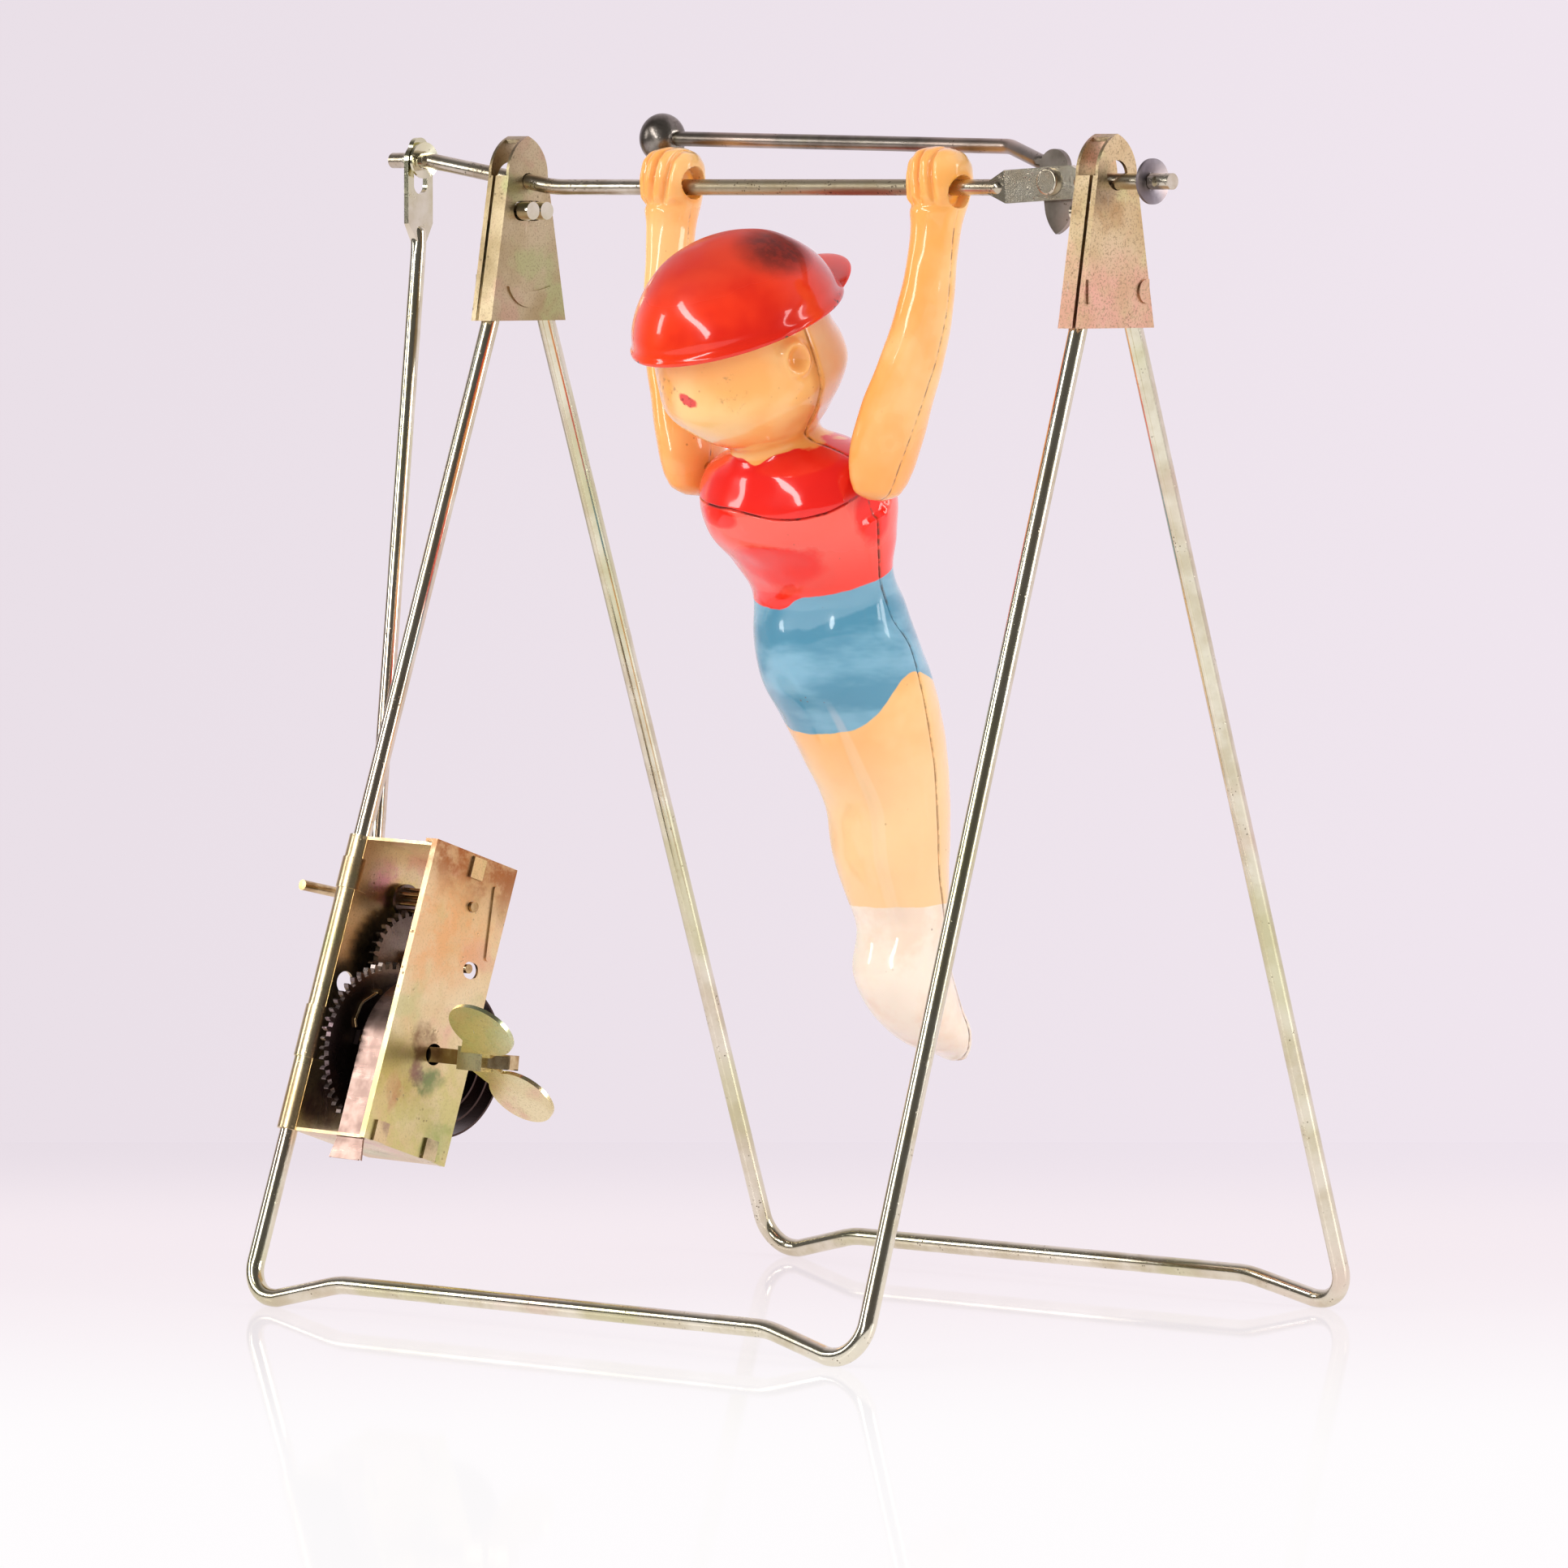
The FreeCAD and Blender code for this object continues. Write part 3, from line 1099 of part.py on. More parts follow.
def body_half(label, front):
    """Head, cap, trunk and legs of one figure, cut at the mould seam into front or back half."""
    body = new_body(label)

    def station(sections, height, centre, half_x, half_y, pinch=0.0):
        sketch = sketch_on(body, "XY_Plane", height)
        add_oval(sketch, 0, centre, half_x, half_y, pinch)
        sections.append(sketch)

    trunk = []
    station(trunk, -121.4, 0.9, 2.4, 1.4)
    station(trunk, -119.5, 0.2, 4.4, 2.5)
    station(trunk, -116.0, -1.6, 6.6, 5.2)
    station(trunk, -111.0, -4.2, 7.8, 7.0)
    station(trunk, -104.0, -6.1, 8.6, 8.8, 0.04)
    station(trunk, -97.0, -6.0, 8.8, 9.8, 0.05)
    station(trunk, -90.0, -2.4, 9.2, 8.9, 0.06)
    station(trunk, -84.0, -1.4, 10.2, 10.0, 0.06)
    station(trunk, -76.0, 0.1, 11.6, 11.4, 0.06)
    station(trunk, -66.0, 2.6, 12.6, 11.7, 0.05)
    station(trunk, -57.0, 2.6, 14.1, 13.0, 0.03)
    station(trunk, -48.0, 1.8, 15.5, 13.6)
    station(trunk, -37.0, 0.0, 16.4, 13.9)
    station(trunk, -30.0, 0.4, 16.0, 12.9)
    station(trunk, -23.0, 1.4, 15.6, 10.7)
    station(trunk, -16.0, 2.0, 17.6, 13.2)
    station(trunk, -8.0, 1.2, 19.8, 16.2)
    station(trunk, -2.0, 0.6, 19.5, 14.8)
    station(trunk, 2.5, 0.2, 16.8, 11.4)
    station(trunk, 6.0, -0.2, 9.4, 8.6)
    station(trunk, 12.0, -0.6, 8.6, 8.8)
    loft(body, trunk)
    head = []
    station(head, 7.0, -0.6, 8.6, 8.9)
    station(head, 10.0, -0.7, 11.0, 12.0)
    station(head, 14.0, -1.0, 14.6, 15.8)
    station(head, 18.0, -1.0, 17.0, 18.2)
    station(head, 22.0, -1.1, 17.3, 18.1)
    station(head, 26.0, -1.5, 17.1, 17.0)
    station(head, cap_rim_height + 1.0, -1.6, 16.6, 16.4)
    loft(body, head)
    cap = []
    station(cap, cap_rim_height, -1.5, 19.4, 21.4)
    station(cap, 34.0, -1.5, 18.6, 20.2)
    station(cap, 38.0, -1.5, 16.6, 18.2)
    station(cap, 42.0, -1.5, 13.2, 14.5)
    station(cap, 45.0, -1.5, 8.8, 9.7)
    station(cap, 46.8, -1.5, 3.4, 3.8)
    loft(body, cap)
    for side in (-1, 1):
        ear = body.newObject("PartDesign::AdditiveEllipsoid", body.Name + "_ear")
        ear.setExpression("Radius1", bound("ear_length") + " / 2")
        ear.setExpression("Radius2", bound("ear_stick_out"))
        ear.setExpression("Radius3", bound("ear_width") + " / 2")
        ear.Placement = Placement(Vector(side * ear_half, 0, ear_height), Rotation())
        doc.recompute()
    if front:
        peak = sketch_on(body, "XY_Plane", cap_rim_height - 0.7)
        add_ellipse(peak, 0, peak_reach / 2 - 1.0, peak_width / 2, peak_reach / 2 + 1.0)
        pad(body, peak, bound("peak_thick"))
    pin_bore = sketch_on(body, "YZ_Plane", -clear_reach)
    add_circle(pin_bore, 0, 0, "shoulder_bore_dia")
    pocket(body, pin_bore, "2 * " + bound("clear_reach"))
    for side in (-1, 1):
        flat = sketch_on(body, "YZ_Plane", side * shoulder_flat_half)
        add_circle(flat, 0, 0, "shoulder_flat_dia")
        pocket(body, flat, bound("clear_reach"), side > 0)
    crease = sketch_on(body, "XY_Plane", crease_height)
    add_square(crease, clear_reach)
    add_oval(crease, 0, crease_centre, crease_half, crease_half_depth)
    pocket(body, crease, bound("crease_width"))
    other_side = sketch_on(body, "YZ_Plane", -clear_reach)
    far = -clear_reach if front else clear_reach
    tall = 3 * clear_reach
    add_loop(other_side, [(0, -tall), (far, -tall), (far, tall), (0, tall)])
    pocket(body, other_side, "2 * " + bound("clear_reach"))
    body.Placement = Placement(at(0, shoulder_reach, shoulder_height), Rotation(Vector(1, 0, 0), body_lean))


frame_wire("front_frame_wire", front_foot_half, -1)
frame_wire("rear_frame_wire", rear_foot_half, 1)
brackets()
bar_wire()
washer("rod_washer", "small_washer_dia", at(-rod_eye_plane + 0.8, 0, bar_height + bar_throw), 0.5)
washer("end_washer", "washer_dia", at(86.6, 0, bar_height), 0.5)
weight_rivet()
weight_arm()
weight_ball()
motor_base_plate()
motor_front_plate()
mainspring()
toothed_wheel("great_wheel", "great_teeth", "great_bore", great_plane, great_y, great_z, great_turn)
toothed_wheel("second_wheel", "second_teeth", "pivot_dia", second_plane, second_y, second_z, second_turn)
pinion("second_pinion", "2.4", great_plane - 0.6, second_y, second_z, pinion_turn)
lantern_pinion()
crank_arbor()
connecting_rod()
second = doc.addObject("Part::Cylinder", "second_arbor")
second.Label = "second_arbor"
second.setExpression("Radius", bound("pivot_dia") + " / 2")
second.setExpression("Height", bound("motor_depth") + " - 1.4")
second.Placement = in_motor(1.4, second_y, second_z).multiply(Placement(Vector(), Rotation(Vector(0, 1, 0), 90)))
winding_arbor()
ratchet_wheel()
click_and_spring()
winding_key()
arm("left_arm", -1)
arm("right_arm", 1)
shoulder_pin()
body_half("body_front_half", True)
body_half("body_back_half", False)
doc.recompute()

pieces = [item for item in doc.Objects
          if item.TypeId in ("PartDesign::Body", "Part::Feature", "Part::Cylinder")]
for item in doc.Objects:
    if "Invalid" in item.State or "Error" in item.State:
        raise RuntimeError("failed: " + item.Label)
for piece in pieces:
    if piece.Shape.isNull() or not piece.Shape.isValid():
        raise RuntimeError("no sound shape: " + piece.Label)
os.makedirs("parts", exist_ok=True)
for piece in pieces:
    piece.Shape.exportStep("parts/%s.step" % piece.Label)
low = min(piece.Shape.BoundBox.XMin for piece in pieces)
high = max(piece.Shape.BoundBox.XMax for piece in pieces)
print("%d sub-parts, middle along the bar at %.3f mm" % (len(pieces), (low + high) / 2))
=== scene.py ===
import json
import math
import bpy
import numpy as np
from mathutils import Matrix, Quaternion, Vector


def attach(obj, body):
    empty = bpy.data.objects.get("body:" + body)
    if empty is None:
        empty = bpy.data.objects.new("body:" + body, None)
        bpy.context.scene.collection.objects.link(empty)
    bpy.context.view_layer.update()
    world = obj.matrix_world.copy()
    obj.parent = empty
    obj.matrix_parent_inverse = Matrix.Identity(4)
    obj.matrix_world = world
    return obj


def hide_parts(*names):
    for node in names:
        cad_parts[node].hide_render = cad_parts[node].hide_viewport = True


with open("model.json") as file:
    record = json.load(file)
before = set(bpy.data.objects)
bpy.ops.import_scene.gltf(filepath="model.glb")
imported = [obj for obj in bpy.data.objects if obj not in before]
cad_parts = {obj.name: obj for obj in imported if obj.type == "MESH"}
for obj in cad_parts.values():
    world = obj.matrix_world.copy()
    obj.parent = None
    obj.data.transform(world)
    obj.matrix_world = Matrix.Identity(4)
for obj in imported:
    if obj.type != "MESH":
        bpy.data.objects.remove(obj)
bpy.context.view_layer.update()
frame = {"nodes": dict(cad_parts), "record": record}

# The toy stands on the floor with its bar along X. Metres, but the doll's and the motor's own sizes are in
# millimetres.
MM = 0.001
TO_MM = 1000.0
MIDDLE = 0.0091
BAR_MIDDLE = (0.0, 0.0, 0.2091)
SHOULDER = np.array([MIDDLE, -0.005, 0.1567])
BAR_ABOVE = 52.4
BAR_BEHIND = 5.0
LEAN = math.radians(22.0)
SIDEWAYS = (1.0, 0.0, 0.0)
DOLL_UP = (0.0, -math.sin(LEAN), math.cos(LEAN))
DOLL_FRONT = (0.0, math.cos(LEAN), math.sin(LEAN))
ARM_REACH = math.hypot(BAR_ABOVE, BAR_BEHIND)
ARM_UP = (0.0, BAR_BEHIND / ARM_REACH, BAR_ABOVE / ARM_REACH)
ARM_FRONT = (0.0, BAR_ABOVE / ARM_REACH, -BAR_BEHIND / ARM_REACH)
UP = (0.0, 0.0, 1.0)
MOTOR_FOOT = (-0.0699, -0.0577, 0.0321)
MOTOR_ACROSS = (0.0, 0.949, -0.315)
MOTOR_UP = (0.018, 0.315, 0.949)

# Values inside a material or the world


class Level:
    """One value in a graph of nodes. Python operators on it add Math nodes."""

    def __init__(self, graph, socket):
        self.graph = graph
        self.socket = socket

    def math(self, operation, *others):
        inputs = dict(enumerate((self,) + others))
        made = self.graph.node("ShaderNodeMath", {"operation": operation}, inputs)
        return Level(self.graph, made.outputs[0])

    def __add__(self, other):
        return self.math("ADD", other)

    def __radd__(self, other):
        return self.math("ADD", other)

    def __sub__(self, other):
        return self.math("SUBTRACT", other)

    def __rsub__(self, other):
        return -self + other

    def __mul__(self, other):
        return self.math("MULTIPLY", other)

    def __rmul__(self, other):
        return self.math("MULTIPLY", other)

    def __truediv__(self, other):
        return self.math("DIVIDE", other)

    def __neg__(self):
        return self.math("MULTIPLY", -1.0)

    def __abs__(self):
        return self.math("ABSOLUTE")

    def __pow__(self, other):
        return self.math("POWER", other)

    def least(self, other):
        return self.math("MINIMUM", other)

    def most(self, other):
        return self.math("MAXIMUM", other)

    def step(self, low, high):
        """0 below low, 1 above high, and smooth between them."""
        made = self.graph.node("ShaderNodeMapRange", {"interpolation_type": "SMOOTHSTEP"},
                               {"Value": self, "From Min": low, "From Max": high})
        return Level(self.graph, made.outputs[0])


def smooth_step(value, low, high):
    """0 below low, 1 above high, and smooth between them, for arrays and for a graph's values."""
    if isinstance(value, Level):
        return value.step(low, high)
    share = np.clip((value - low) / (high - low), 0.0, 1.0)
    return share * share * (3 - 2 * share)


def spot(across, along, half_across, half_along, inner=0.6):
    """1 inside an oval, soft at its edge, for a material's values."""
    reach = (across / half_across) ** 2.0 + (along / half_along) ** 2.0
    return 1.0 - reach.step(inner, 1.3)


def spot_at(across, along, place):
    """A spot whose place lists its middle across and along, its half width and its half height."""
    middle, height, half_across, half_along = place
    return spot(across - middle, along - height, half_across, half_along)


class Graph:
    """The nodes of a material or of the world, which all come from one method."""

    def __init__(self, tree):
        self.tree = tree
        self.tree.nodes.clear()

    def node(self, kind, settings=None, inputs=None):
        """A node of a kind: its settings first, then the values or links of its sockets."""
        made = self.tree.nodes.new(kind)
        for key, value in (settings or {}).items():
            setattr(made, key, value)
        for key, value in (inputs or {}).items():
            self.feed(made.inputs[key], value)
        return made

    def feed(self, socket, value):
        """Link a socket to a value of the graph, or set a plain value on it."""
        if isinstance(value, Level):
            self.tree.links.new(value.socket, socket)
        elif isinstance(value, bpy.types.NodeSocket):
            self.tree.links.new(value, socket)
        elif socket.type == "RGBA":
            socket.default_value = (*value, 1.0)
        else:
            socket.default_value = value

    def level(self, socket):
        return Level(self, socket)

    def dot(self, vector, direction):
        """How far a vector reaches along a direction."""
        made = self.node("ShaderNodeVectorMath", {"operation": "DOT_PRODUCT"}, {0: vector, 1: direction})
        return self.level(made.outputs["Value"])

    def mixed(self, factor, first, second):
        """Two colours mixed; factor 0 gives the first."""
        made = self.node("ShaderNodeMix", {"data_type": "RGBA"}, {0: factor, 6: first, 7: second})
        return made.outputs[2]

    def seen_rays(self):
        """1 for what the camera, gloss and glass see, 0 for the light that falls on things."""
        path = self.node("ShaderNodeLightPath")
        seen = self.level(path.outputs["Is Camera Ray"])
        for kind in ("Is Glossy Ray", "Is Transmission Ray"):
            seen = seen.most(self.level(path.outputs[kind]))
        return seen


SPECK_CORE = 0.7


class Finish(Graph):
    """A material in the making, with one Principled surface."""

    names = {"colour": "Base Color", "rough": "Roughness", "metal": "Metallic", "normal": "Normal",
             "coat": "Coat Weight", "coat_rough": "Coat Roughness", "specular": "Specular IOR Level",
             "subsurface": "Subsurface Weight", "subsurface_scale": "Subsurface Scale"}

    def __init__(self, name):
        self.material = bpy.data.materials.new(name)
        self.material.use_nodes = True
        super().__init__(self.material.node_tree)
        self.surface = self.node("ShaderNodeBsdfPrincipled")
        self.output = self.node("ShaderNodeOutputMaterial", None, {"Surface": self.surface.outputs[0]})
        self.place = self.node("ShaderNodeTexCoord").outputs["Object"]

    def stretched(self, scale):
        """Object coordinates multiplied along each axis."""
        return self.node("ShaderNodeMapping", None, {"Vector": self.place, "Scale": scale}).outputs[0]

    def noise(self, scale, detail=3.0, rough=0.5, vector=None):
        """Cloudy values round 0.5, in object coordinates or in those of a stretched vector."""
        inputs = {"Vector": vector or self.place, "Scale": scale, "Detail": detail, "Roughness": rough}
        return self.level(self.node("ShaderNodeTexNoise", None, inputs).outputs["Fac"])

    def specks(self, scale, size):
        """1 inside small irregular dots, 0 between them."""
        inputs = {"Vector": self.place, "Scale": scale, "Randomness": 1.0}
        distance = self.level(self.node("ShaderNodeTexVoronoi", None, inputs).outputs["Distance"])
        return 1.0 - distance.step(size * SPECK_CORE, size)

    def along(self, direction, origin=(0.0, 0.0, 0.0)):
        """How far the point lies from origin along a direction, in metres."""
        shifted = self.node("ShaderNodeVectorMath", {"operation": "SUBTRACT"}, {0: self.place, 1: origin})
        return self.dot(shifted.outputs[0], direction)

    def along_mm(self, direction, origin=(0.0, 0.0, 0.0)):
        """How far the point lies from origin along a direction, in millimetres."""
        return self.along(direction, origin) * TO_MM

    def from_shoulder(self, front, up):
        """Millimetres from the shoulder axis: sideways, to the front and up."""
        return tuple(self.along_mm(direction, tuple(SHOULDER)) for direction in (SIDEWAYS, front, up))

    def bump(self, height, strength, distance):
        """A normal that follows a height; the distance is in metres."""
        inputs = {"Height": height, "Strength": strength, "Distance": distance}
        return self.node("ShaderNodeBump", None, inputs).outputs[0]

    def finish(self, **sockets):
        """Set or link the surface's own sockets and hand the material back."""
        for key, value in sockets.items():
            self.feed(self.surface.inputs[self.names[key]], value)
        return self.material


def linear(red, green, blue):
    """A colour as read from a screen, 0 to 255, made linear."""
    def one(value):
        value = value / 255
        return value / 12.92 if value <= 0.04045 else ((value + 0.055) / 1.055) ** 2.4
    return one(red), one(green), one(blue)


# The doll's lines, used by its shape and by its paint. Millimetres from the shoulder axis.


def seam_front(up):
    """How far in front of the shoulder axis the two halves meet: nearly there at the chest, further forward
    along the shorts, back again at the socks and a little behind it on the head."""
    return (0.8 + 2.8 * smooth_step(-up, 29, 38) - 3.8 * smooth_step(-up, 60, 84)
            - 2.3 * smooth_step(up, 4, 9))


def crease_up(x):
    """Height of the crease under the shoulders: level on the left, falling to the right and up at its end."""
    return -1.9 - 2.9 * smooth_step(x, -4, 14) + 0.8 * smooth_step(x, 16, 20)


def arm_seam(height):
    """How far in front of an arm's middle its two halves meet."""
    return 1.3 * smooth_step(-height, -50, -30) * smooth_step(height, -2, 14) + 0.1


EAR_FRONT, EAR_UP = -5.6, 24.9
EAR_HALF_FRONT, EAR_HALF_UP = 2.5, 3.1


def ear_reach(front, up):
    """Distance from an ear's middle, as a share of the way to its rim."""
    return (((front - EAR_FRONT) / EAR_HALF_FRONT) ** 2.0 + ((up - EAR_UP) / EAR_HALF_UP) ** 2.0) ** 0.5


LEGS_MEET_BEHIND = 5.9
NOSE_UP = 17.4
HAND_CENTRE = 34.4
FINGER_GAPS = (-2.9, 0.0, 2.9)
FINGER_SLANT = 0.12

# Finishes


PINK_FILM = linear(226, 196, 180)
GREEN_FILM = linear(206, 206, 150)
BAR_PALE = linear(216, 208, 190)
BAR_DULL = linear(186, 172, 148)
BAR_BROWN = linear(172, 156, 122)
BAR_RUST = linear(168, 84, 66)
BAR_PIT = linear(60, 44, 32)


def worn_wire(name, bright, dull, rust, roughness, rusty=0.4):
    """Worn plating on wire: cloudy tone with yellow, pink and green films, dark pits and fine lines."""
    f = Finish(name)
    cloud = f.noise(90.0, 4.0, 0.6)
    film = f.noise(26.0, 3.0, 0.6)
    fine = f.noise(1400.0, 3.0, 0.6)
    pits = f.specks(1300.0, 0.24) * f.noise(260.0, 2.0).step(0.55, 0.68)
    stain = f.noise(160.0, 5.0, 0.7).step(0.6, 0.76)
    colour = f.mixed(cloud.step(0.38, 0.66), bright, dull)
    colour = f.mixed(film.step(0.52, 0.64) * 0.4, colour, PINK_FILM)
    colour = f.mixed((1.0 - film.step(0.36, 0.48)) * 0.45, colour, GREEN_FILM)
    colour = f.mixed(stain * rusty, colour, rust)
    colour = f.mixed(pits * 0.75, colour, tuple(part * 0.22 for part in rust))
    rough = roughness + 0.16 * (cloud - 0.4) + 0.15 * stain + 0.2 * pits
    height = fine * 0.2 - pits * 0.7
    return f.finish(colour=colour, rough=rough, metal=1.0, normal=f.bump(height, 0.3, 0.0001))


def bar_steel(name):
    """The bar's wire: dull olive brown, with red rust beside the right hand and paler towards the ends."""
    f = Finish(name)
    x = f.along_mm(SIDEWAYS, (MIDDLE, 0.0, 0.0))
    cloud = f.noise(130.0, 4.0, 0.6)
    pits = f.specks(1300.0, 0.3) * f.noise(300.0, 2.0).step(0.45, 0.6)
    lower = 1.0 - f.along_mm(UP, BAR_MIDDLE).step(-1.2, 0.4)
    inner = 1.0 - abs(x).step(36.0, 42.0)
    by_hand = x.step(2.0, 16.0) * (1.0 - x.step(29.0, 31.0)) * lower
    colour = f.mixed(cloud.step(0.35, 0.66), BAR_PALE, BAR_DULL)
    colour = f.mixed(inner * 0.7, colour, BAR_BROWN)
    colour = f.mixed(by_hand * cloud.step(0.3, 0.5) * 0.5, colour, BAR_RUST)
    colour = f.mixed(pits * 0.7, colour, BAR_PIT)
    rough = 0.24 + 0.18 * inner + 0.2 * by_hand + 0.15 * (cloud - 0.4)
    height = f.noise(1500.0, 2.0) * 0.3 - pits
    return f.finish(colour=colour, rough=rough, metal=1.0, normal=f.bump(height, 0.4, 0.00012))


SCRATCHED = (0.9, 0.88, 0.8)


def passivated_sheet(name, bright, dull, pink, green, roughness, place, stains_and_shade=(), grain=0.3):
    """Plated sheet gone cloudy: yellowish with faint pink and green films, a sparkling grain, dark marks and
    larger patches. A patch lists its middle across and up, its half sizes, its colour and its share. Most
    patches are real stain; on the motor's base plate some are painted shade inside the motor box."""
    f = Finish(name)
    origin, across_axis, up_axis = place
    sparkle = f.noise(2600.0, 2.0, 0.6)
    cloud = f.noise(70.0, 3.0, 0.55)
    hue = f.noise(80.0, 3.0, 0.6)
    scratch = f.noise(60.0, 4.0, 0.7, f.stretched((18.0, 18.0, 1.5))).step(0.64, 0.7)
    marks = f.specks(900.0, 0.25) * f.noise(200.0, 2.0).step(0.54, 0.68)
    colour = f.mixed(cloud.step(0.35, 0.68), bright, dull)
    colour = f.mixed(hue.step(0.54, 0.68) * 0.6, colour, pink)
    colour = f.mixed((1.0 - hue.step(0.32, 0.46)) * 0.6, colour, green)
    ragged = (f.noise(150.0, 4.0, 0.65) - 0.5) * 9.0
    patchy = 0.5 + 0.5 * f.noise(240.0, 4.0, 0.65).step(0.38, 0.6)
    across = f.along_mm(across_axis, origin) + ragged
    up = f.along_mm(up_axis, origin) + ragged
    for middle, height, half_across, half_up, stain, share in stains_and_shade:
        covered = spot(across - middle, up - height, half_across, half_up, 0.0)
        colour = f.mixed(covered * patchy * share, colour, stain)
    colour = f.mixed(sparkle.step(0.5, 0.66) * grain, colour, tuple(part * 0.5 for part in dull))
    colour = f.mixed(marks * 0.5, colour, tuple(part * 0.3 for part in dull))
    colour = f.mixed(scratch * 0.12, colour, SCRATCHED)
    rough = roughness + 0.16 * (cloud - 0.45) + 0.2 * marks + 0.05 * scratch
    height = f.noise(800.0, 2.0) * 0.3 + sparkle * grain - scratch * 0.15 - marks * 0.6
    return f.finish(colour=colour, rough=rough, metal=1.0, normal=f.bump(height, 0.4, 0.0001))


NOWHERE = 1000.0
# Painted shade, nearly black, for the mainspring's coil inside the motor
PAINTED_COIL_SHADE = linear(58, 44, 42)


def toned_steel(name, bright, dull, roughness, painted_shade_beyond=NOWHERE):
    """Drawn or tempered steel: lengthwise lines, a slight brown cast, and painted shade that turns it nearly
    black beyond a distance across the motor, where the mainspring's coil lies inside the motor."""
    f = Finish(name)
    lines = f.noise(500.0, 3.0, 0.6, f.stretched((0.12, 1.0, 1.0)))
    cloud = f.noise(220.0, 3.0, 0.6)
    across = f.along_mm(MOTOR_ACROSS, MOTOR_FOOT)
    colour = f.mixed(cloud.step(0.35, 0.65), bright, dull)
    # Painted shade: nearly black beyond the given distance across the motor
    colour = f.mixed(across.step(painted_shade_beyond - 4.0, painted_shade_beyond + 4.0) * 0.9, colour, PAINTED_COIL_SHADE)
    rough = roughness + 0.2 * (lines - 0.5)
    return f.finish(colour=colour, rough=rough, metal=1.0, normal=f.bump(lines, 0.2, 0.00008))


LEAD_PALE = linear(160, 152, 144)
LEAD_DARK = linear(112, 104, 97)
LEAD_RUBBED = linear(196, 186, 176)


def cast_lead(name):
    """The weight's ball: dark grey lead, dented, with a few paler rubs."""
    f = Finish(name)
    cloud = f.noise(160.0, 4.0, 0.6)
    rubs = f.noise(420.0, 4.0, 0.65).step(0.58, 0.68)
    colour = f.mixed(cloud.step(0.36, 0.62), LEAD_PALE, LEAD_DARK)
    colour = f.mixed(rubs * 0.5, colour, LEAD_RUBBED)
    height = f.noise(320.0, 3.0, 0.5) + f.noise(1200.0, 2.0) * 0.15
    return f.finish(colour=colour, rough=0.3 + 0.16 * (cloud - 0.5), metal=1.0,
                    normal=f.bump(height, 0.4, 0.0004))


SKIN = linear(255, 180, 96)
SKIN_PALE = linear(255, 203, 132)
SKIN_DEEP = linear(252, 160, 76)
SHIRT = linear(236, 34, 26)
SHIRT_FADED = linear(255, 100, 84)
SHORTS = linear(88, 150, 176)
SHORTS_PALE = linear(130, 182, 204)
SOCKS = linear(255, 238, 218)
SOCKS_DULL = linear(250, 224, 200)
CAP_RED = linear(222, 34, 16)
CAP_ORANGE_PARTLY_LIT = linear(254, 80, 20)
SHORTS_WAIST_BAND = linear(142, 186, 206)
EYE_DARK = linear(44, 34, 34)
GLINT_WHITE = linear(250, 248, 244)
BROW_BROWN = linear(110, 66, 40)
CHEEK_PINK = linear(246, 128, 96)
LIP_RED = linear(206, 52, 44)
# Painted shade for the inside of the motor box
PAINTED_INNER_SHADE = linear(46, 32, 22)
DIRT = linear(92, 56, 34)
SOOT = linear(60, 42, 34)

# Where the doll's paint changes, in millimetres above the shoulder axis, and half the width of its edges
NECKLINE = 4.8
WAIST = -24.2
LEG_HEM = -48.6
SOCK_TOP = -84.6
PAINT_EDGE = 0.14

# The painted face: middle to the side and up, half width and half height
CHEEK = (8.4, 15.0, 3.6, 3.0)
EYE = (5.4, 20.6, 1.3, 1.7)
GLINT = (5.1, 21.2, 0.4, 0.45)
BROW = (5.6, 24.0, 2.4, 0.42)
MOUTH = (0.0, 12.6, 2.8, 0.55)


def shell_gloss(f, colour, rough, sunk, coat=0.8):
    """The moulded shell's shared gloss: an old clear surface with shallow waves and orange peel."""
    height = f.noise(130.0, 2.0) + f.noise(420.0, 2.0) * 0.12 + f.noise(2200.0, 2.0) * 0.006 - sunk
    return f.finish(colour=colour, rough=rough, normal=f.bump(height, 0.25, 0.0004), coat=coat,
                    coat_rough=0.05, specular=0.2, subsurface=0.1, subsurface_scale=0.003)


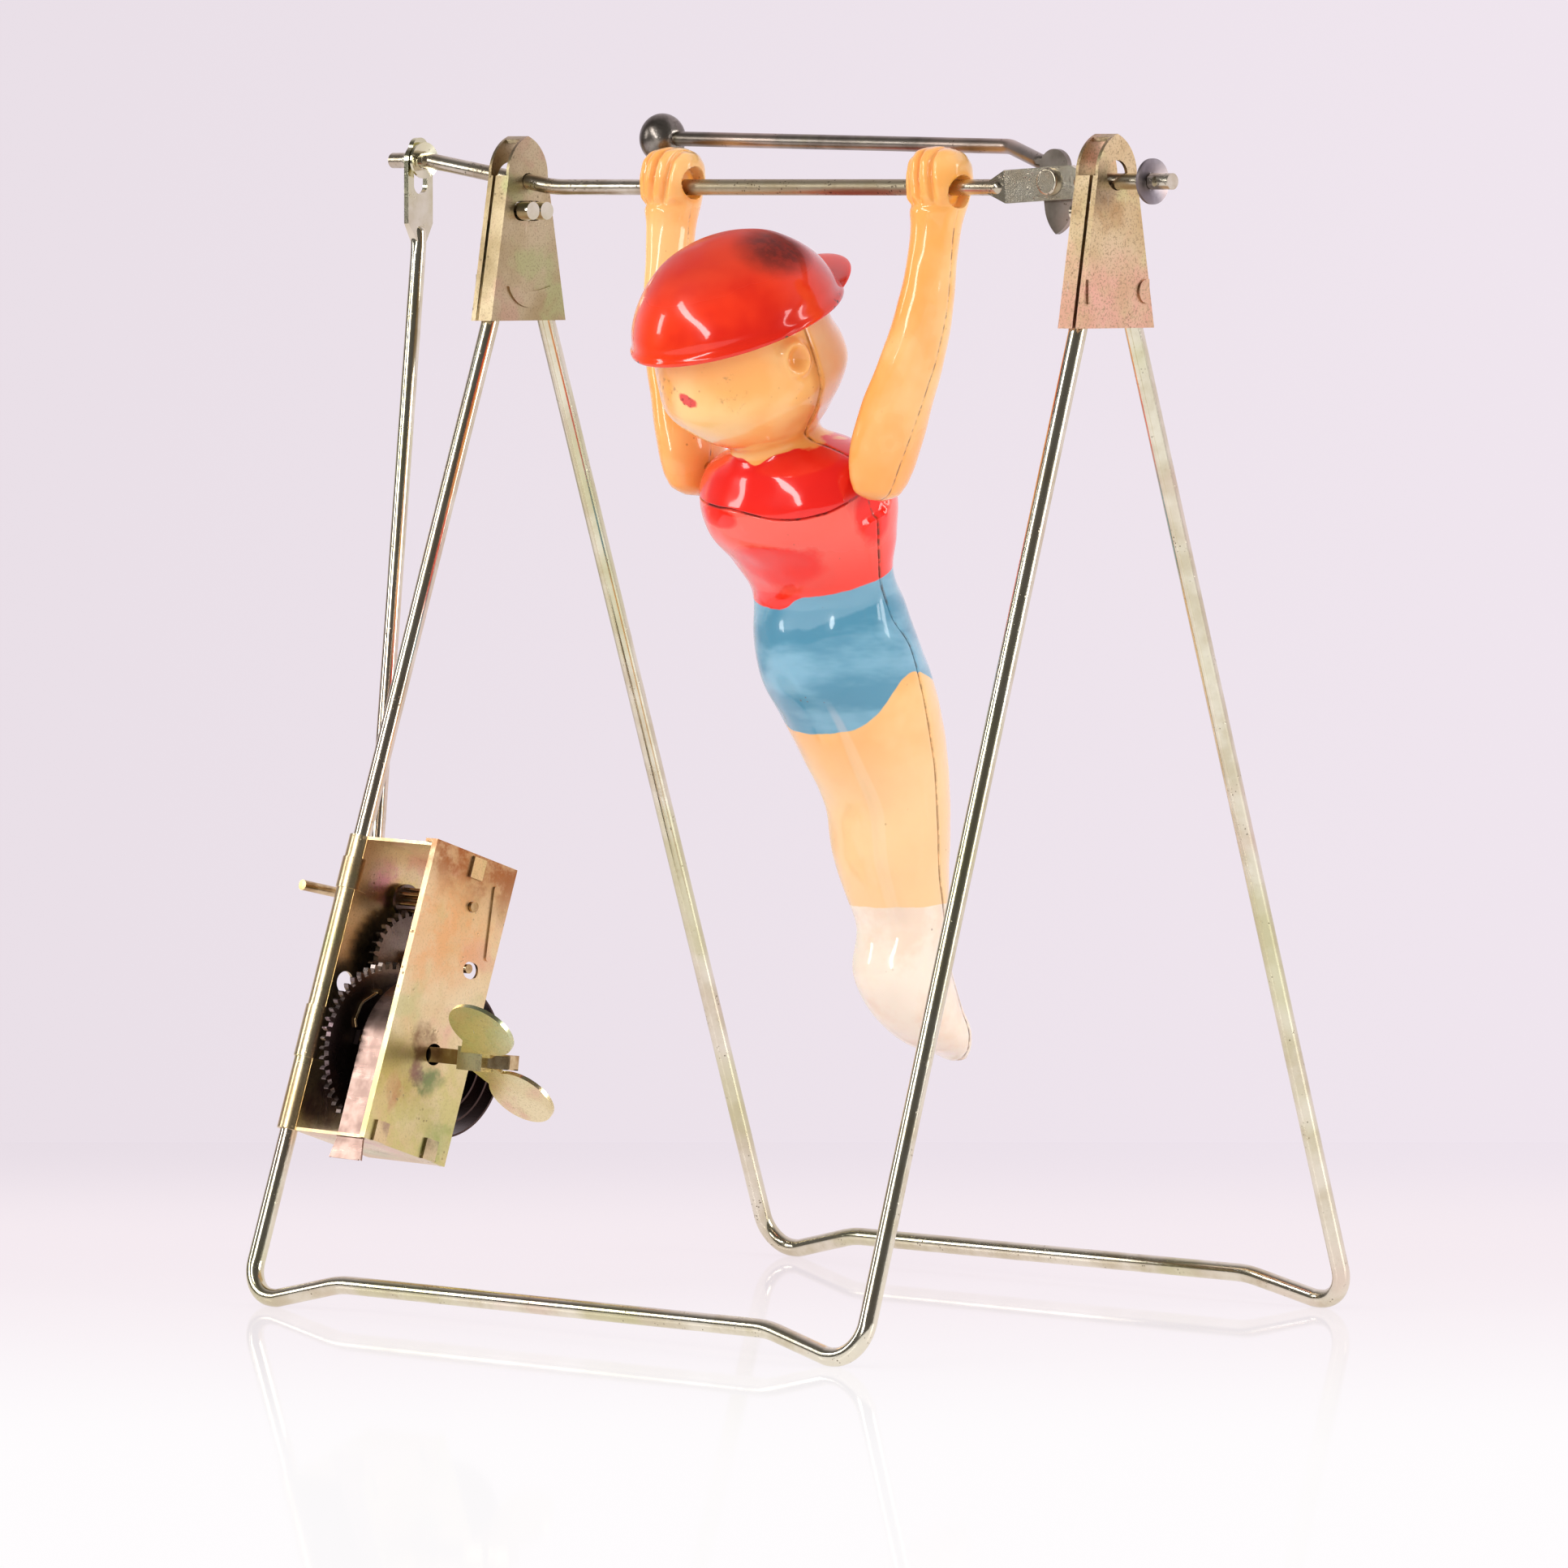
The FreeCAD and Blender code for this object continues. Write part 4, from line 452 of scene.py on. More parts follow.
def moulded_arm(name):
    """Old glossy shell in skin colour, deeper in the fists' hollows, dirty along its seam, with painted shade
    in the gaps between the fingers.
    """
    f = Finish(name)
    x, front, height = f.from_shoulder(ARM_FRONT, ARM_UP)
    patch = f.noise(60.0, 3.0, 0.5)
    fine = f.noise(700.0, 4.0, 0.6)
    near_bar = 1.0 - ((front ** 2.0 + (height - ARM_REACH) ** 2.0) ** 0.5).step(2.6, 3.5)
    seam = 1.0 - abs(front - arm_seam(height)).step(0.05, 0.28)
    seam = seam * fine.step(0.4, 0.62) * (1.0 - height.step(46.0, 49.0))
    specks = f.specks(520.0, 0.14) * f.noise(120.0, 2.0).step(0.6, 0.72)
    low = 1.0 - height.step(-4.0, 16.0)
    colour = f.mixed(patch.step(0.4, 0.65), SKIN, SKIN_PALE)
    colour = f.mixed(low * 0.5, colour, SKIN_DEEP)
    colour = f.mixed(near_bar * 0.8, colour, linear(255, 172, 62))
    gaps = height.step(ARM_REACH - 2.0, ARM_REACH + 1.0)
    slant = abs(x) - HAND_CENTRE + FINGER_SLANT * (height - ARM_REACH)
    # Painted shade: the gaps between the fingers over the fist are painted a darker skin tone
    for gap in FINGER_GAPS:
        finger_gap_shade = (1.0 - abs(slant - gap).step(0.1, 0.5)) * gaps * (1.0 - (front + 1.0).step(0.0, 3.0))
        colour = f.mixed(finger_gap_shade * 0.55, colour, linear(224, 134, 76))
    colour = f.mixed(seam * 0.7, colour, DIRT)
    colour = f.mixed(specks * 0.6, colour, linear(150, 90, 40))
    return shell_gloss(f, colour, 0.2 + 0.14 * patch + 0.1 * seam, seam * 0.3)


def painted_doll(name):
    """The shell's clothes are painted on: shirt, shorts and socks meet the skin in slightly wavy edges."""
    f = Finish(name)
    x, front, up = f.from_shoulder(DOLL_FRONT, DOLL_UP)
    wave = (f.noise(260.0, 3.0) - 0.5) * 0.7
    patch = f.noise(60.0, 3.0, 0.5)
    blotch = f.noise(110.0, 4.0, 0.62)
    fine = f.noise(700.0, 4.0, 0.6)
    neckline = NECKLINE + 1.3 * abs(x - 2.2).step(0.0, 4.0) - abs(x).step(8.0, 11.0)
    neckline = neckline - 1.6 * front.step(2.0, 8.0)
    shirt = 1.0 - (up + wave - neckline).step(-PAINT_EDGE, PAINT_EDGE)
    waist = WAIST + 2.3 * x.step(-2.0, 5.0)
    shorts = 1.0 - (up + wave - waist).step(-PAINT_EDGE, PAINT_EDGE)
    hem = LEG_HEM + 7.4 * (abs(x) / 16.2) ** 5.0
    bare = 1.0 - (up + wave - hem).step(-PAINT_EDGE, PAINT_EDGE)
    sock_top = SOCK_TOP - 0.36 * (front + 10.7)
    socks = 1.0 - (up + wave - sock_top).step(-PAINT_EDGE, PAINT_EDGE)

    skin = f.mixed(patch.step(0.4, 0.65), SKIN, SKIN_PALE)
    skin = f.mixed((1.0 - up.step(-70.0, -36.0)) * 0.85, skin, linear(255, 212, 158))
    ridge_x = LEGS_MEET_BEHIND + 0.03 * (up + 68.0)
    # Painted highlight: a pale line down the groove between the legs, carried onto the shorts above the hem
    ridge_highlight = spot(x - ridge_x, up + 66.0, 1.3, 27.0) * (1.0 - front.step(-4.0, 0.0))
    uneven = (blotch - 0.5) * 5.0
    red_middle = spot(x - 3.0 + 2.0 * uneven, up + 14.0 + uneven, 9.5, 5.2)
    red_right = spot(front - 0.5 + 0.5 * uneven, up + 9.0 + uneven, 4.5, 5.0) * x.step(8.0, 12.0)
    red_left = spot(x + 7.0 + uneven, up + 4.0 + 0.4 * uneven, 6.5, 2.0)
    red_low = spot(x + 3.0 + uneven, up + 22.6 + 0.4 * uneven, 8.0, 1.8)
    kept_red = red_middle.most(red_right).most(red_left).most(red_low) * (1.0 - front.step(2.5, 6.0))
    below_crease = 1.0 - (up - crease_up(x)).step(-0.4, 0.0)
    fade = below_crease * (1.0 - kept_red) * (0.35 + 0.65 * up.step(-22.0, -9.0))
    shirt_colour = f.mixed(patch.step(0.42, 0.66), SHIRT, linear(246, 46, 32))
    shirt_colour = f.mixed(below_crease * 0.9, shirt_colour, linear(255, 34, 10))
    shirt_colour = f.mixed(fade, shirt_colour, SHIRT_FADED)
    brushed = f.noise(34.0, 4.0, 0.55, f.stretched((1.0, 1.0, 3.0)))
    below_band = 1.0 - (up + 27.4 + 0.5 * uneven - 1.4 * x.step(4.0, 12.0)).step(-0.5, 0.2)
    band = (x.step(-3.0, 1.0) - below_band * x.step(-3.0, 1.0)).most(0.0)
    shorts_colour = f.mixed(brushed.step(0.42, 0.62), SHORTS, SHORTS_PALE)
    # A paler band on the shorts just below the waist, right of the middle
    shorts_colour = f.mixed(band * 0.45, shorts_colour, SHORTS_WAIST_BAND)
    # Painted highlight on the shorts along the legs' groove
    shorts_colour = f.mixed(ridge_highlight * (1.0 - up.step(-47.0, -40.0)) * 0.5, shorts_colour, linear(190, 198, 206))
    sock_colour = f.mixed(f.noise(90.0, 4.0, 0.6).step(0.45, 0.66), SOCKS, SOCKS_DULL)
    colour = f.mixed(shirt, skin, shirt_colour)
    colour = f.mixed(shorts, colour, shorts_colour)
    # Painted highlight on the bare legs along their groove
    bare_colour = f.mixed(ridge_highlight * 0.25, skin, linear(255, 222, 184))
    colour = f.mixed(bare, colour, bare_colour)
    colour = f.mixed(socks, colour, sock_colour)

    ahead = front.step(2.0, 6.0)
    cheeks = spot_at(abs(x), up, CHEEK)
    eyes = spot_at(abs(x), up, EYE)
    glints = spot_at(abs(x), up, GLINT)
    brows = spot_at(abs(x), up + 0.06 * (abs(x) - BROW[0]) ** 2.0, BROW)
    mouth = spot_at(x, up - 0.05 * x ** 2.0, MOUTH)
    colour = f.mixed(ahead * cheeks * 0.45, colour, CHEEK_PINK)
    colour = f.mixed(ahead * eyes, colour, EYE_DARK)
    colour = f.mixed(ahead * glints, colour, GLINT_WHITE)
    colour = f.mixed(ahead * brows, colour, BROW_BROWN)
    colour = f.mixed(ahead * mouth, colour, LIP_RED)

    chip_edge = (fine - 0.5) * 1.2
    behind = 1.0 - front.step(-12.0, -8.0)
    chip = spot(x - 0.1 + chip_edge, up - 22.0 + 0.35 * x + chip_edge, 2.1, 1.2) * behind
    crease = 1.0 - abs(up - crease_up(x)).step(0.12, 0.4)
    crease = crease * (0.25 + 0.75 * f.noise(330.0, 3.0, 0.6).step(0.42, 0.6))
    seam = 1.0 - abs(front - seam_front(up)).step(0.08, 0.42)
    seam = seam * fine.step(0.36, 0.6) * (0.55 + 0.45 * up.step(-32.0, -20.0))
    seam = seam * (1.0 - 0.7 * up.step(6.0, 12.0))
    neck_dirt = (1.0 - abs(front - seam_front(up) + 0.8).step(0.2, 1.8)) * up.step(6.0, 10.0)
    neck_dirt = neck_dirt * blotch.step(0.4, 0.6)
    smear = spot(x + 6.0, up - 23.5, 4.0, 2.2).most(spot(x - 9.0, up - 22.5, 2.4, 4.0) * 0.7)
    smear = smear * fine.step(0.52, 0.64) * behind
    ear_shade = (1.0 - ear_reach(front, up).step(0.3, 1.0)) * abs(x).step(11.0, 13.0)
    specks = f.specks(560.0, 0.14) * f.noise(110.0, 2.0).step(0.6, 0.72)
    chip_colour = f.mixed(fine.step(0.5, 0.6), linear(226, 70, 62), linear(150, 30, 28))
    colour = f.mixed(ear_shade * 0.6, colour, linear(232, 142, 66))
    colour = f.mixed(chip, colour, chip_colour)
    colour = f.mixed(crease * 0.85, colour, SOOT)
    colour = f.mixed(seam * 0.8, colour, DIRT)
    colour = f.mixed(neck_dirt * 0.4, colour, linear(206, 120, 54))
    colour = f.mixed(smear * 0.45, colour, DIRT)
    colour = f.mixed(specks * 0.5, colour, linear(120, 70, 40))
    rough = 0.14 + 0.12 * patch + 0.1 * fade * shirt + 0.2 * seam + 0.25 * crease
    return shell_gloss(f, colour, rough, seam * 0.3 + chip * 0.1)


def painted_cap(name):
    """Red cap paint, more orange low on the left, partly as painted light falling from the left, rubbed over
    the crown, with one soft brown smudge.
    """
    f = Finish(name)
    x, front, up = f.from_shoulder(DOLL_FRONT, DOLL_UP)
    patch = f.noise(60.0, 3.0, 0.5)
    fine = f.noise(420.0, 5.0, 0.68)
    colour = f.mixed(patch.step(0.42, 0.66), CAP_RED, linear(244, 58, 24))
    # More orange low on the left: partly the paint's own tone, partly painted light falling from the left
    colour = f.mixed((1.0 - (x * 0.5 + up).step(22.0, 42.0)) * 0.8, colour, CAP_ORANGE_PARTLY_LIT)
    worn = up.step(38.0, 46.0) * (0.6 + f.noise(60.0, 3.0, 0.6).step(0.36, 0.6) * 0.4)
    reach = ((x - 10.5) / 8.0) ** 2.0 + ((front - 3.5) / 8.0) ** 2.0 + ((up - 43.0) / 5.0) ** 2.0
    smudge = 1.0 - reach.step(0.0, 1.8)
    crown = worn.most(smudge)
    colour = f.mixed(worn * 0.4, colour, linear(166, 60, 36))
    colour = f.mixed(smudge * (0.75 + 0.2 * fine.step(0.4, 0.6)), colour, linear(92, 22, 8))
    chips = f.specks(700.0, 0.3) * (1.0 - up.step(30.6, 31.8)) * f.noise(300.0, 2.0).step(0.5, 0.6)
    colour = f.mixed(chips, colour, SOOT)
    rough = 0.15 + 0.1 * patch + 0.35 * crown + 0.2 * chips
    return shell_gloss(f, colour, rough, chips * 0.4, 0.8 - 0.75 * crown.least(1.0))


MOTOR_PLACE = (MOTOR_FOOT, MOTOR_ACROSS, MOTOR_UP)
BRACKET_PLACE = ((0.0, 0.0, 0.0), (0.0, 1.0, 0.0), UP)
BRIGHT_SHEET = linear(238, 218, 178)
DULL_SHEET = linear(220, 192, 144)
PINK_SHEET = linear(228, 176, 156)
GREEN_SHEET = linear(200, 200, 144)
MOTOR_STAINS = [
    (10.0, 62.0, 40.0, 15.0, linear(160, 96, 56), 0.95), (5.0, 41.0, 15.0, 11.0, linear(234, 172, 116), 0.7),
    (10.0, 6.0, 40.0, 17.0, linear(206, 198, 126), 0.8), (7.4, 21.0, 3.4, 4.6, linear(110, 64, 50), 0.8),
    (11.5, 15.0, 3.4, 3.0, linear(104, 130, 86), 0.8), (9.0, 16.0, 2.6, 2.6, linear(136, 76, 100), 0.7),
    (17.0, 4.0, 4.0, 4.0, linear(146, 168, 98), 0.6), (3.0, 10.0, 2.6, 4.0, linear(206, 136, 126), 0.6)]
BRACKET_STAINS = [
    (0.0, 187.0, 60.0, 11.0, linear(222, 160, 148), 0.6), (-2.0, 204.0, 5.0, 4.0, linear(158, 110, 60), 0.5)]
finishes = {
    "plated_wire": worn_wire("worn_plating", linear(236, 230, 210), linear(214, 204, 176),
                             linear(170, 142, 100), 0.15),
    "bar_wire": bar_steel("bar_steel"),
    "bracket_sheet": passivated_sheet("bracket_plating", linear(210, 188, 152), linear(190, 162, 120),
                                      PINK_SHEET, GREEN_SHEET, 0.34, BRACKET_PLACE, BRACKET_STAINS, 0.6),
    "motor_sheet": passivated_sheet("motor_plating", BRIGHT_SHEET, DULL_SHEET, PINK_SHEET, GREEN_SHEET, 0.3,
                                    MOTOR_PLACE, MOTOR_STAINS, 0.2),
    "gear_sheet": passivated_sheet("wheel_plating", linear(150, 138, 132), linear(104, 92, 88),
                                   linear(128, 104, 112), linear(116, 112, 92), 0.26, MOTOR_PLACE),
    "arbor_steel": toned_steel("arbor_steel", linear(222, 200, 160), linear(176, 146, 104), 0.22),
    # The mainspring is painted nearly black beyond 12 mm across the motor: painted shade on its coil
    "spring_steel": toned_steel("spring_steel", linear(180, 152, 140), linear(146, 120, 110), 0.28, 12.0),
    "key_sheet": passivated_sheet("key_plating", linear(242, 228, 184), linear(224, 206, 154), PINK_SHEET,
                                  GREEN_SHEET, 0.26, MOTOR_PLACE,
                                  [(11.0, 30.0, 40.0, 13.0, linear(198, 216, 170), 0.8)], 0.3),
    "doll_shell": painted_doll("painted_shell"),
    "doll_arm": moulded_arm("arm_shell"),
}
slot_of = {entry["node"]: entry["material_slot"] for entry in frame["record"]["subparts"]}
for node, piece in frame["nodes"].items():
    piece.data.materials.clear()
    piece.data.materials.append(finishes[slot_of[node]])
frame["nodes"]["weight_ball"].data.materials[0] = cast_lead("cast_lead")
frame["nodes"]["weight_arm"].data.materials[0] = worn_wire(
    "weight_arm_wire", linear(158, 148, 138), linear(120, 110, 100), linear(138, 92, 62), 0.3, 0.6)
frame["nodes"]["end_washer"].data.materials[0] = worn_wire(
    "washer_steel", linear(158, 152, 158), linear(110, 104, 110), linear(84, 74, 76), 0.42, 0.6)
frame["nodes"]["left_bracket"].data.materials[0] = passivated_sheet(
    "left_bracket_plating", linear(190, 172, 140), linear(160, 140, 104), linear(184, 144, 124),
    linear(166, 170, 118), 0.32, BRACKET_PLACE, grain=0.4)
# The base plate's inside is painted dark, as painted shade inside the motor box, beside real patches of
# purple, pink and yellow film
frame["nodes"]["motor_base_plate"].data.materials[0] = passivated_sheet(
    "motor_base_plating", BRIGHT_SHEET, DULL_SHEET, PINK_SHEET, GREEN_SHEET, 0.28, MOTOR_PLACE,
    [(15.0, 26.0, 15.0, 25.0, PAINTED_INNER_SHADE, 1.0), (14.0, 24.0, 12.0, 22.0, PAINTED_INNER_SHADE, 1.0),
     (13.0, 36.0, 9.0, 12.0, PAINTED_INNER_SHADE, 0.9), (5.0, 8.0, 5.0, 8.0, linear(112, 66, 92), 0.7),
     (6.0, 50.0, 5.0, 5.0, linear(222, 140, 170), 0.7), (12.0, 49.0, 5.0, 4.0, linear(226, 214, 110), 0.7)])

# Curved shells


def smooth_through(x, spots, values):
    """Cubic pieces through the values, whose slope at a spot is the mean of the slopes beside it, each
    weighted by the length of the other gap."""
    gaps = np.diff(spots)
    rises = np.diff(values) / gaps
    inner_slopes = (rises[:-1] * gaps[1:] + rises[1:] * gaps[:-1]) / (gaps[1:] + gaps[:-1])
    slopes = np.concatenate([rises[:1], inner_slopes, rises[-1:]])
    here = np.clip(np.searchsorted(spots, x) - 1, 0, len(gaps) - 1)
    t = (x - spots[here]) / gaps[here]
    return (values[here] * (1 + 2 * t) * (1 - t) ** 2 + values[here + 1] * t * t * (3 - 2 * t)
            + gaps[here] * t * (1 - t) * ((1 - t) * slopes[here] - t * slopes[here + 1]))


def along_table(x, table):
    """Every column after the first of a table, read smoothly at x in its first column."""
    table = np.array(table)
    return [smooth_through(x, table[:, 0], table[:, column]) for column in range(1, table.shape[1])]


def full_turn(columns):
    """A row of equal steps round a full circle, in radians, without its closing step."""
    return np.linspace(0, 2 * np.pi, columns, endpoint=False)[None, :]


def shoulder_points(x, front, up, front_axis, up_axis):
    """Points in metres from millimetres sideways, to the front and up from the shoulder axis."""
    parts = ((x, SIDEWAYS), (front, front_axis), (up, up_axis))
    return SHOULDER + MM * sum(part[..., None] * np.array(axis) for part, axis in parts)


SHARP_ANGLE = math.radians(55.0)


def closed_surface(name, rings, material, body, nodes):
    """A skin over closed rings of points, rows by columns, with each end ring drawn to its middle point.
    The faces are turned outwards by the sign of the volume that they enclose."""
    rows, columns = rings.shape[:2]
    points = np.concatenate([rings.reshape(-1, 3), rings[:1].mean(axis=1), rings[-1:].mean(axis=1)])
    here = np.arange(rows * columns).reshape(rows, columns)
    beside = np.roll(here, -1, axis=1)
    quads = np.stack([here[:-1], beside[:-1], beside[1:], here[1:]], axis=-1).reshape(-1, 4)
    first = np.full(columns, rows * columns)
    ends = np.concatenate([np.stack([first, beside[0], here[0]], axis=1),
                           np.stack([first + 1, here[-1], beside[-1]], axis=1)])
    corners = points[np.concatenate([quads[:, :3], quads[:, [0, 2, 3]], ends])]
    if np.einsum("ij,ij->", corners[:, 0], np.cross(corners[:, 1], corners[:, 2])) < 0:
        quads, ends = quads[:, ::-1], ends[:, ::-1]
    mesh = bpy.data.meshes.new(name)
    mesh.from_pydata(points.tolist(), [], quads.tolist() + ends.tolist())
    mesh.shade_smooth()
    mesh.set_sharp_from_angle(angle=SHARP_ANGLE)
    mesh.materials.append(material)
    piece = bpy.data.objects.new(name, mesh)
    bpy.context.scene.collection.objects.link(piece)
    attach(piece, body)
    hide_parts(*nodes)


# Height, centre to the front, half width, half depth and pinch of the doll's cross-section
DOLL_LEVELS = [
    (-121.4, 0.9, 2.4, 1.4, 0.0), (-119.5, 0.2, 4.4, 2.5, 0.0), (-116.0, -1.6, 6.6, 5.2, 0.0),
    (-111.0, -4.2, 7.8, 7.0, 0.0), (-104.0, -6.1, 8.6, 8.8, 0.04), (-97.0, -6.0, 8.8, 9.8, 0.05),
    (-90.0, -2.4, 9.2, 8.9, 0.06), (-84.0, -1.4, 10.2, 10.0, 0.06), (-76.0, 0.1, 11.6, 11.4, 0.06),
    (-66.0, 2.6, 12.6, 11.7, 0.05), (-57.0, 2.6, 14.1, 13.0, 0.03), (-48.0, 1.8, 15.5, 13.6, 0.0),
    (-37.0, 0.0, 16.4, 13.9, 0.0), (-30.0, 0.4, 16.0, 12.9, 0.0), (-23.0, 1.4, 15.6, 10.7, 0.0),
    (-16.0, 2.0, 17.6, 13.2, 0.0), (-8.0, 1.2, 19.8, 16.2, 0.0), (-2.0, 0.6, 19.5, 14.8, 0.0),
    (2.5, 0.2, 16.8, 11.4, 0.0), (6.0, -0.2, 9.4, 8.6, 0.0), (7.6, -0.4, 9.0, 8.9, 0.0),
    (10.0, -0.7, 11.0, 12.0, 0.0), (14.0, -1.0, 14.6, 15.8, 0.0), (18.0, -1.0, 17.0, 18.2, 0.0),
    (22.0, -1.1, 17.3, 18.1, 0.0), (26.0, -1.5, 17.1, 17.0, 0.0), (31.3, -1.6, 16.6, 16.4, 0.0)]
CREASE_MEAN = -3.3
SHOULDER_FLAT = 18.5
SHOULDER_ROUND = 9.3
BEYOND_FLAT = 4.0
HALF_COLUMNS = 118
# Rows of the doll's shell: from, up to and how many, closest together at the crease
ROW_STEPS = [(-121.4, -112.0, 30), (-112.0, -6.5, 128), (-6.5, -4.1, 10), (-4.1, -2.5, 26), (-2.5, 0.5, 12),
             (0.5, 31.3, 62)]


def bump_of(distance, width):
    """1 where distance is 0, falling smoothly to nothing a few widths away."""
    return np.exp(-(distance / width) ** 2)


def shell_relief(x, front, up, back):
    """How far the shell stands out from its plain oval, in millimetres: a groove between the legs, the crease
    under the shoulders with a lip above it, ears with a hollow, a nose, the seam's groove and faint waves."""
    legs = smooth_step(-up, 42, 48) * (1 - smooth_step(-up, 88, 93))
    below = up - crease_up(x)
    relief = -0.45 * bump_of(below, 0.2)
    relief += 0.18 * smooth_step(below, 0.0, 0.25) * (1 - smooth_step(below, 0.6, 4.0))
    beside = smooth_step(abs(x), 12, 14)
    ear = ear_reach(front, up)
    relief += beside * (1.1 * bump_of(ear - 0.9, 0.32) - 0.5 * bump_of(ear, 0.55))
    relief -= 0.16 * bump_of(front - seam_front(up), 0.3)
    relief += 0.05 * np.sin(0.9 * x + 0.35 * up) * np.sin(0.5 * up - 0.2 * x + 1.3)
    if back:
        return relief - 0.4 * legs * bump_of(x - LEGS_MEET_BEHIND, 1.05) * smooth_step(-front, 0, 3)
    relief += 1.5 * bump_of(x, 1.7) * bump_of(up - NOSE_UP, 1.9)
    relief += (0.12 + 0.3 * smooth_step(up, 9, 11)) * bump_of(front - seam_front(up), 2.5)
    return relief - 0.45 * legs * bump_of(x, 1.05) * smooth_step(front, 0, 3)


def doll_half(name, back):
    """One half of the doll's shell. A row is the part of an oval on one side of the seam:
    x = a cos t, front = c + b sin t (1 - p sin^4 t), closed by a straight line across the seam. The rows near
    the crease bend with it, and the sides are cut flat where the arms lie against them."""
    rows = np.concatenate([np.linspace(low, high, count, endpoint=False) for low, high, count in ROW_STEPS]
                          + [[ROW_STEPS[-1][1]]])[:, None]
    centre, half_x, half_front, pinch = along_table(rows, DOLL_LEVELS)
    start = np.arcsin(np.clip((seam_front(rows) - centre) / half_front, -0.95, 0.95))
    share = np.linspace(0, 1, HALF_COLUMNS)[None, :]
    share = 0.6 * share + 0.2 * (1 - np.cos(np.pi * share))
    if back:
        angle = np.pi - start + share * (np.pi + 2 * start)
    else:
        angle = start + share * (np.pi - 2 * start)
    up = rows + (crease_up(half_x * np.cos(angle)) - CREASE_MEAN) * bump_of(rows - CREASE_MEAN, 3.0)
    centre, half_x, half_front, pinch = along_table(up, DOLL_LEVELS)
    x = half_x * np.cos(angle)
    front = centre + half_front * np.sin(angle) * (1 - pinch * np.sin(angle) ** 4)
    relief = shell_relief(x, front, up, back)
    out_x, out_front = half_front * np.cos(angle), half_x * np.sin(angle)
    length = np.hypot(out_x, out_front)
    x, front = x + relief * out_x / length, front + relief * out_front / length
    from_pin = np.hypot(front, up)
    limit = SHOULDER_FLAT + BEYOND_FLAT * smooth_step(from_pin, SHOULDER_ROUND, SHOULDER_ROUND + 1.5)
    rings = shoulder_points(np.clip(x, -limit, limit), front, up, DOLL_FRONT, DOLL_UP)
    closed_surface(name, rings, finishes["doll_shell"], "gymnast",
                   ["body_back_half" if back else "body_front_half"])


# Way along the cap's outline, height, half width and half depth, from under the rim to the crown
CAP_OUTLINE = [
    (0.0, 30.9, 14.0, 14.0), (0.12, 30.4, 17.4, 18.6), (0.2, 30.0, 19.0, 20.9), (0.24, 30.2, 19.45, 21.45),
    (0.28, 30.8, 19.5, 21.5), (0.33, 31.6, 19.1, 20.95), (0.42, 34.0, 18.6, 20.2), (0.55, 38.0, 16.6, 18.2),
    (0.7, 42.0, 13.2, 14.5), (0.85, 45.0, 8.8, 9.7), (0.95, 46.45, 4.2, 4.6), (1.0, 46.8, 1.2, 1.3)]
CAP_CENTRE = -1.5
CAP_ROWS, CAP_COLUMNS = 150, 200


def cap_shell(cap_paint):
    """The cap's dome: ovals of growing, then shrinking size carried along its outline, with faint waves."""
    way = np.linspace(0, 1, CAP_ROWS)[:, None]
    turn = full_turn(CAP_COLUMNS)
    up, half_x, half_front = along_table(way, CAP_OUTLINE)
    wave = 1 + 0.003 * np.sin(3 * turn + 9 * way) * np.sin(14 * way) + 0.0015 * np.sin(7 * turn)
    rings = shoulder_points(half_x * np.cos(turn) * wave, CAP_CENTRE + half_front * np.sin(turn) * wave,
                            up + 0 * turn, DOLL_FRONT, DOLL_UP)
    closed_surface("cap_shell", rings, cap_paint, "gymnast",
                   ["body_back_half", "body_front_half"])


BRIM_CENTRE = 10.4
BRIM_HALF_X = 13.6
BRIM_HALF_FRONT = 15.1
BRIM_HALF_THICK = 0.65
BRIM_ROOT_FRONT, BRIM_ROOT_UP = 14.0, 30.4
BRIM_TILT = 0.218
BRIM_BEND = 0.002
BRIM_ROWS, BRIM_COLUMNS = 72, 160


def brim_shell(cap_paint):
    """The cap's peak: an oval plate tilted up to the front, its sides bent up a little. From its underside's
    middle the outline runs out, round the edge and back over the top."""
    way = np.linspace(0.02, 1.98, BRIM_ROWS)[:, None]
    turn = full_turn(BRIM_COLUMNS)
    spread = 1 - np.abs(1 - way) ** 2.2
    half_thick = BRIM_HALF_THICK * np.sqrt(np.clip(1 - spread ** 8, 0.0, 1.0))
    x = BRIM_HALF_X * spread * np.cos(turn)
    front = BRIM_CENTRE + BRIM_HALF_FRONT * spread * np.sin(turn)
    middle = BRIM_ROOT_UP + BRIM_TILT * (front - BRIM_ROOT_FRONT) + BRIM_BEND * x ** 2
    up = middle + np.where(way < 1, -1.0, 1.0) * half_thick
    rings = shoulder_points(x, front, up, DOLL_FRONT, DOLL_UP)
    closed_surface("brim_shell", rings, cap_paint, "gymnast", ["body_front_half"])


